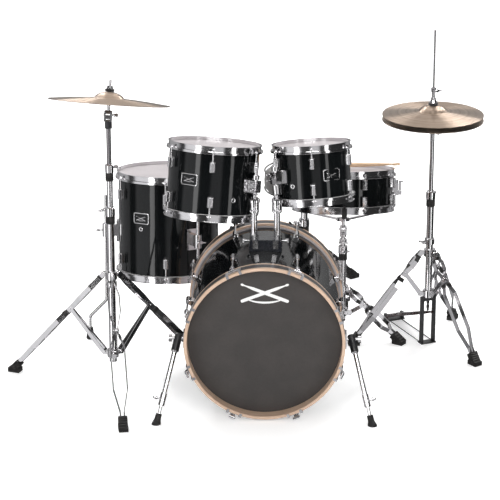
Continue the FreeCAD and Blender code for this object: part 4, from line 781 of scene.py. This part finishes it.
def rubber_fittings():
    """Sleeves where one tube slides into the next, and bands on the folding legs."""
    crash, hat, cradle = stand_matrix("crash"), stand_matrix("hat"), stand_matrix("cradle")
    sleeve("crash_base_sleeve", 12.75, 15.8, 592, 619.6, "kit", crash)
    sleeve("crash_middle_sleeve", 10.55, 13.6, 742, 771.6, "crash_middle", crash)
    sleeve("hat_base_sleeve", 12.75, 15.8, 518, 546.6, "kit", hat)
    sleeve("cradle_base_sleeve", 12.75, 15.8, 276, 301.6, "kit", cradle)
    sleeve("throne_sleeve", 16.05, 19.5, 238, 261.8, "kit", stand_matrix("stool"))
    leg_bands("crash", ["crash_leg_1", "crash_leg_2", "crash_leg_3"])
    for stand in ("hat", "stool", "cradle"):
        leg_bands(stand, ["kit"] * 3)


# ---------------------------------------------------------------- the throne's cushion

CLOTH_FRAMES = 20
VOXEL, MOST_SWELLING = 0.0055, 0.0085
UPPER_SEAM, LOWER_SEAM, PIPING = 9.0, 7.0, 3.2


def cushion():
    """The seat pad, swollen by cloth pressure, with piping sewn round its two edges."""
    place = Matrix.Translation(kit_point(*STANDS["stool"][:2]))
    low, high, radius = SEAT_BOTTOM + 3.0, SEAT_BOTTOM + SEAT_THICK - 9.0, SEAT_RADIUS - 7.0
    outline = [(0.5, low), (radius - 12, low), (radius, low + 12), (radius, high - 22),
               (radius - 7, high - 8), (radius - 26, high), (0.5, high)]
    shape = Shape()
    shape.add(*turned(outline, 72))
    pad = shape.piece("throne_cushion", "seat_vinyl", "seat", "seat_vinyl", place)
    remesh = pad.modifiers.new("skin", "REMESH")
    remesh.mode = "VOXEL"
    remesh.voxel_size = VOXEL
    apply_modifiers(pad)
    rest = [vertex.co.copy() for vertex in pad.data.vertices]
    held = pad.vertex_groups.new(name="held")
    sewn = [vertex.index for vertex in pad.data.vertices if vertex.co.z < (low + 2) * MM]
    held.add(sewn, 1.0, "REPLACE")
    cloth = pad.modifiers.new("cloth", "CLOTH")
    cloth.settings.quality = 6
    cloth.settings.mass = 0.3
    cloth.settings.tension_stiffness = 25
    cloth.settings.compression_stiffness = 25
    cloth.settings.bending_stiffness = 1.5
    cloth.settings.use_pressure = True
    cloth.settings.uniform_pressure_force = 4.0
    cloth.settings.effector_weights.gravity = 0.0
    cloth.settings.vertex_group_mass = "held"
    cloth.point_cache.frame_start, cloth.point_cache.frame_end = 1, CLOTH_FRAMES
    scene = bpy.context.scene
    for number in range(1, CLOTH_FRAMES + 1):
        scene.frame_set(number)
        bpy.context.view_layer.update()
    apply_modifiers(pad)
    scene.frame_set(1)
    finish_cushion(pad, rest, low, high, radius)
    piping = Shape()
    piping.add(*round_tube(SEAT_RADIUS - 9.0, PIPING, high - UPPER_SEAM, 120, 10))
    piping.add(*round_tube(SEAT_RADIUS - 9.5, PIPING, low + LOWER_SEAM, 120, 10))
    piping.piece("throne_piping", "seat_piping", "seat", "seat_vinyl", place)
    button = Shape()
    button.add(*turned([(0.02, high - 4.0), (11.0, high - 4.0), (12.5, high - 1.0), (11.0, high + 2.2),
                        (6.0, high + 4.0), (0.02, high + 4.4)], 36))
    button.piece("throne_button", "seat_piping", "seat", "seat_vinyl", place)
    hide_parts("throne_seat")


def finish_cushion(pad, rest, low, high, radius):
    """Hold the swelling inside the seat's space, draw the pad in at its seams and button, and smooth it."""
    centre = kit_point(*STANDS["stool"][:2])
    for vertex, start in zip(pad.data.vertices, rest):
        push = vertex.co - start
        if push.length > MOST_SWELLING:
            vertex.co = start + push.normalized() * MOST_SWELLING
        out = Vector((vertex.co.x - centre.x, vertex.co.y - centre.y, 0))
        reach = out.length / MM
        if vertex.co.z > (high - 12) * MM:
            vertex.co.z -= 0.011 * math.exp(-(reach / 26.0) ** 2)
            turn = math.atan2(out.y, out.x)
            puckers = math.cos(9 * turn) * math.exp(-((reach - 42.0) / 26.0) ** 2)
            vertex.co.z += 0.0007 * puckers
        if reach > radius - 30:
            for seam in (high - UPPER_SEAM, low + LOWER_SEAM):
                pull = 0.004 * math.exp(-((vertex.co.z / MM - seam) / 6.0) ** 2)
                vertex.co -= out.normalized() * pull
    smooth = pad.modifiers.new("smooth", "SUBSURF")
    smooth.levels = smooth.render_levels = 1
    pad.data.shade_smooth()


def apply_modifiers(piece):
    """Bake a piece's modifiers into its mesh."""
    graph = bpy.context.evaluated_depsgraph_get()
    made = bpy.data.meshes.new_from_object(piece.evaluated_get(graph))
    old = piece.data
    piece.modifiers.clear()
    piece.data = made
    bpy.data.meshes.remove(old)


badge("left_tom", "left_tom", -120.0, 10.0)
badge("right_tom", "right_tom", -60.0, 0.0)
badge("floor_tom", "kit", -120.0, 40.0)
vent("left_tom", "left_tom", -60.0, -50.0)
vent("right_tom", "right_tom", -123.0, -32.0)
vent("floor_tom", "kit", -120.0, 2.0)
front_emblem()
rubber_fittings()
cushion()

# ---------------------------------------------------------------- studio

# name, place, aim, width, power in watts, height
LIGHTS = [
    ("left_strip", (-2.6, -3.4, 0.5), (0, 0, 0.5), 0.80, 52, 5.6),
    ("right_strip", (2.9, -3.0, 0.5), (0, 0, 0.5), 0.60, 36, 5.6),
    ("front_top", (0.3, -4.2, 2.5), (0, 0, 0.6), 2.8, 70, 1.2),
    ("top_box", (0, 1.7, 5.0), (0, 1.7, 0), 7.0, 145, 5.0),
    ("back_left", (-1.8, 3.0, 3.6), (-0.4, 0, 0.8), 0.30, 95, 2.6),
    ("back_right", (2.2, 2.8, 3.6), (0.4, 0, 0.8), 0.30, 95, 2.6),
]
# the tone of the room's walls by direction, in degrees round from +X, -90 being towards the camera
ROOM_PANELS = [(-180, 0.10), (-172, 0.10), (-162, 1.50), (-126, 1.50), (-118, 0.08), (-98, 0.06),
               (-88, 1.10), (-70, 1.10), (-62, 0.06), (24, 0.05), (36, 0.6), (56, 0.6), (66, 0.15),
               (112, 0.15), (122, 0.6), (146, 0.7), (170, 0.8), (177, 0.10), (180, 0.10)]


def add_light(name, place, aim, size, power, size_y):
    data = bpy.data.lights.new(name, "AREA")
    data.energy = power
    data.shape = "RECTANGLE"
    data.size = size
    data.size_y = size_y
    light = bpy.data.objects.new(name, data)
    light.location = place
    light.rotation_euler = (Vector(aim) - Vector(place)).to_track_quat("-Z", "Y").to_euler()
    bpy.context.scene.collection.objects.link(light)


def stage_piece(name, points, faces, glow):
    """A plain white part of the stage, which also gives off a little light of its own."""
    mesh = bpy.data.meshes.new(name)
    mesh.from_pydata(points, [], faces)
    piece = bpy.data.objects.new(name, mesh)
    bpy.context.scene.collection.objects.link(piece)
    recipe = Recipe(name, (0.9, 0.9, 0.9), Roughness=0.55)
    recipe.colour(recipe.mix(recipe.noise(3.0), (0.90, 0.90, 0.90), (0.88, 0.88, 0.88)))
    recipe.shader.inputs["Emission Color"].default_value = (1, 1, 1, 1)
    recipe.shader.inputs["Emission Strength"].default_value = glow
    mesh.materials.append(recipe.material)
    return piece


def studio():
    """A white floor and backdrop, soft boxes all round, and a dim room for chrome to mirror.

    The floor and the backdrop don't show in mirror reflections, so that the room does.
    """
    corners = [(-30, -30), (30, -30), (30, 30), (-30, 30)]
    floor = stage_piece("studio_floor", [(x, y, 0) for x, y in corners], [(0, 1, 2, 3)], 0.45)
    floor.visible_glossy = False
    wall_points = [(x, y, height) for height in (-1, 30) for x, y in corners]
    wall_faces = [(k, (k + 1) % 4, (k + 1) % 4 + 4, k + 4) for k in range(4)]
    walls = stage_piece("studio_backdrop", wall_points, wall_faces, 0.9)
    walls.visible_glossy = False
    walls.visible_diffuse = False
    walls.visible_shadow = False

    for name, place, aim, size, power, size_y in LIGHTS:
        add_light(name, place, aim, size, power, size_y)
    studio_room()
    bpy.context.scene.view_settings.view_transform = "Standard"


def studio_room():
    """The room that chrome mirrors: pale and dark panels all round, and a bright ceiling."""
    world = bpy.data.worlds.new("studio_room")
    world.use_nodes = True
    bpy.context.scene.world = world
    room = Nodes(world.node_tree)
    split = room.nodes.new("ShaderNodeSeparateXYZ")
    room.join(room.nodes.new("ShaderNodeTexCoord").outputs["Generated"], split.inputs[0])
    across, away, up = split.outputs
    share = room.math("MULTIPLY_ADD", room.math("ARCTAN2", away, across), 0.5 / math.pi, 0.5)
    panels = room.nodes.new("ShaderNodeValToRGB")
    room.join(share, panels.inputs["Fac"])
    panels.color_ramp.interpolation = "EASE"
    stops = panels.color_ramp.elements
    stops.remove(stops[1])
    for number, (angle, tone) in enumerate(ROOM_PANELS):
        stop = stops[0] if number == 0 else stops.new(angle / 360 + 0.5)
        stop.position = angle / 360 + 0.5
        stop.color = (tone, tone, tone * 1.02, 1)
    above = room.spread(up, 0.05, 0.35, 0, 1)
    walls = room.mix(above, panels.outputs["Color"], (0.08, 0.08, 0.08))
    rise = room.spread(room.math("MULTIPLY_ADD", away, 0.7, up), 0.35, 0.95, 0, 1, "SMOOTHSTEP")
    background = room.nodes["Background"]
    room.join(room.mix(rise, walls, (1, 1, 1)), background.inputs["Color"])
    background.inputs["Strength"].default_value = 0.6


CAMERA_PLACE, CAMERA_DOWN, CAMERA_ASIDE, CAMERA_LENS = (82.7, -6904.6, 2948.0), 18.76, -1.08, 162.4


def camera():
    data = bpy.data.cameras.new("camera")
    data.lens = CAMERA_LENS
    data.sensor_width = 36.0
    data.clip_end = 200.0
    view = bpy.data.objects.new("camera", data)
    view.location = kit_point(*CAMERA_PLACE)
    down, aside = math.radians(CAMERA_DOWN), math.radians(CAMERA_ASIDE)
    ahead = Vector((math.sin(aside) * math.cos(down), math.cos(aside) * math.cos(down), -math.sin(down)))
    view.rotation_euler = ahead.to_track_quat("-Z", "Y").to_euler()
    bpy.context.scene.collection.objects.link(view)
    bpy.context.scene.camera = view


studio()
camera()
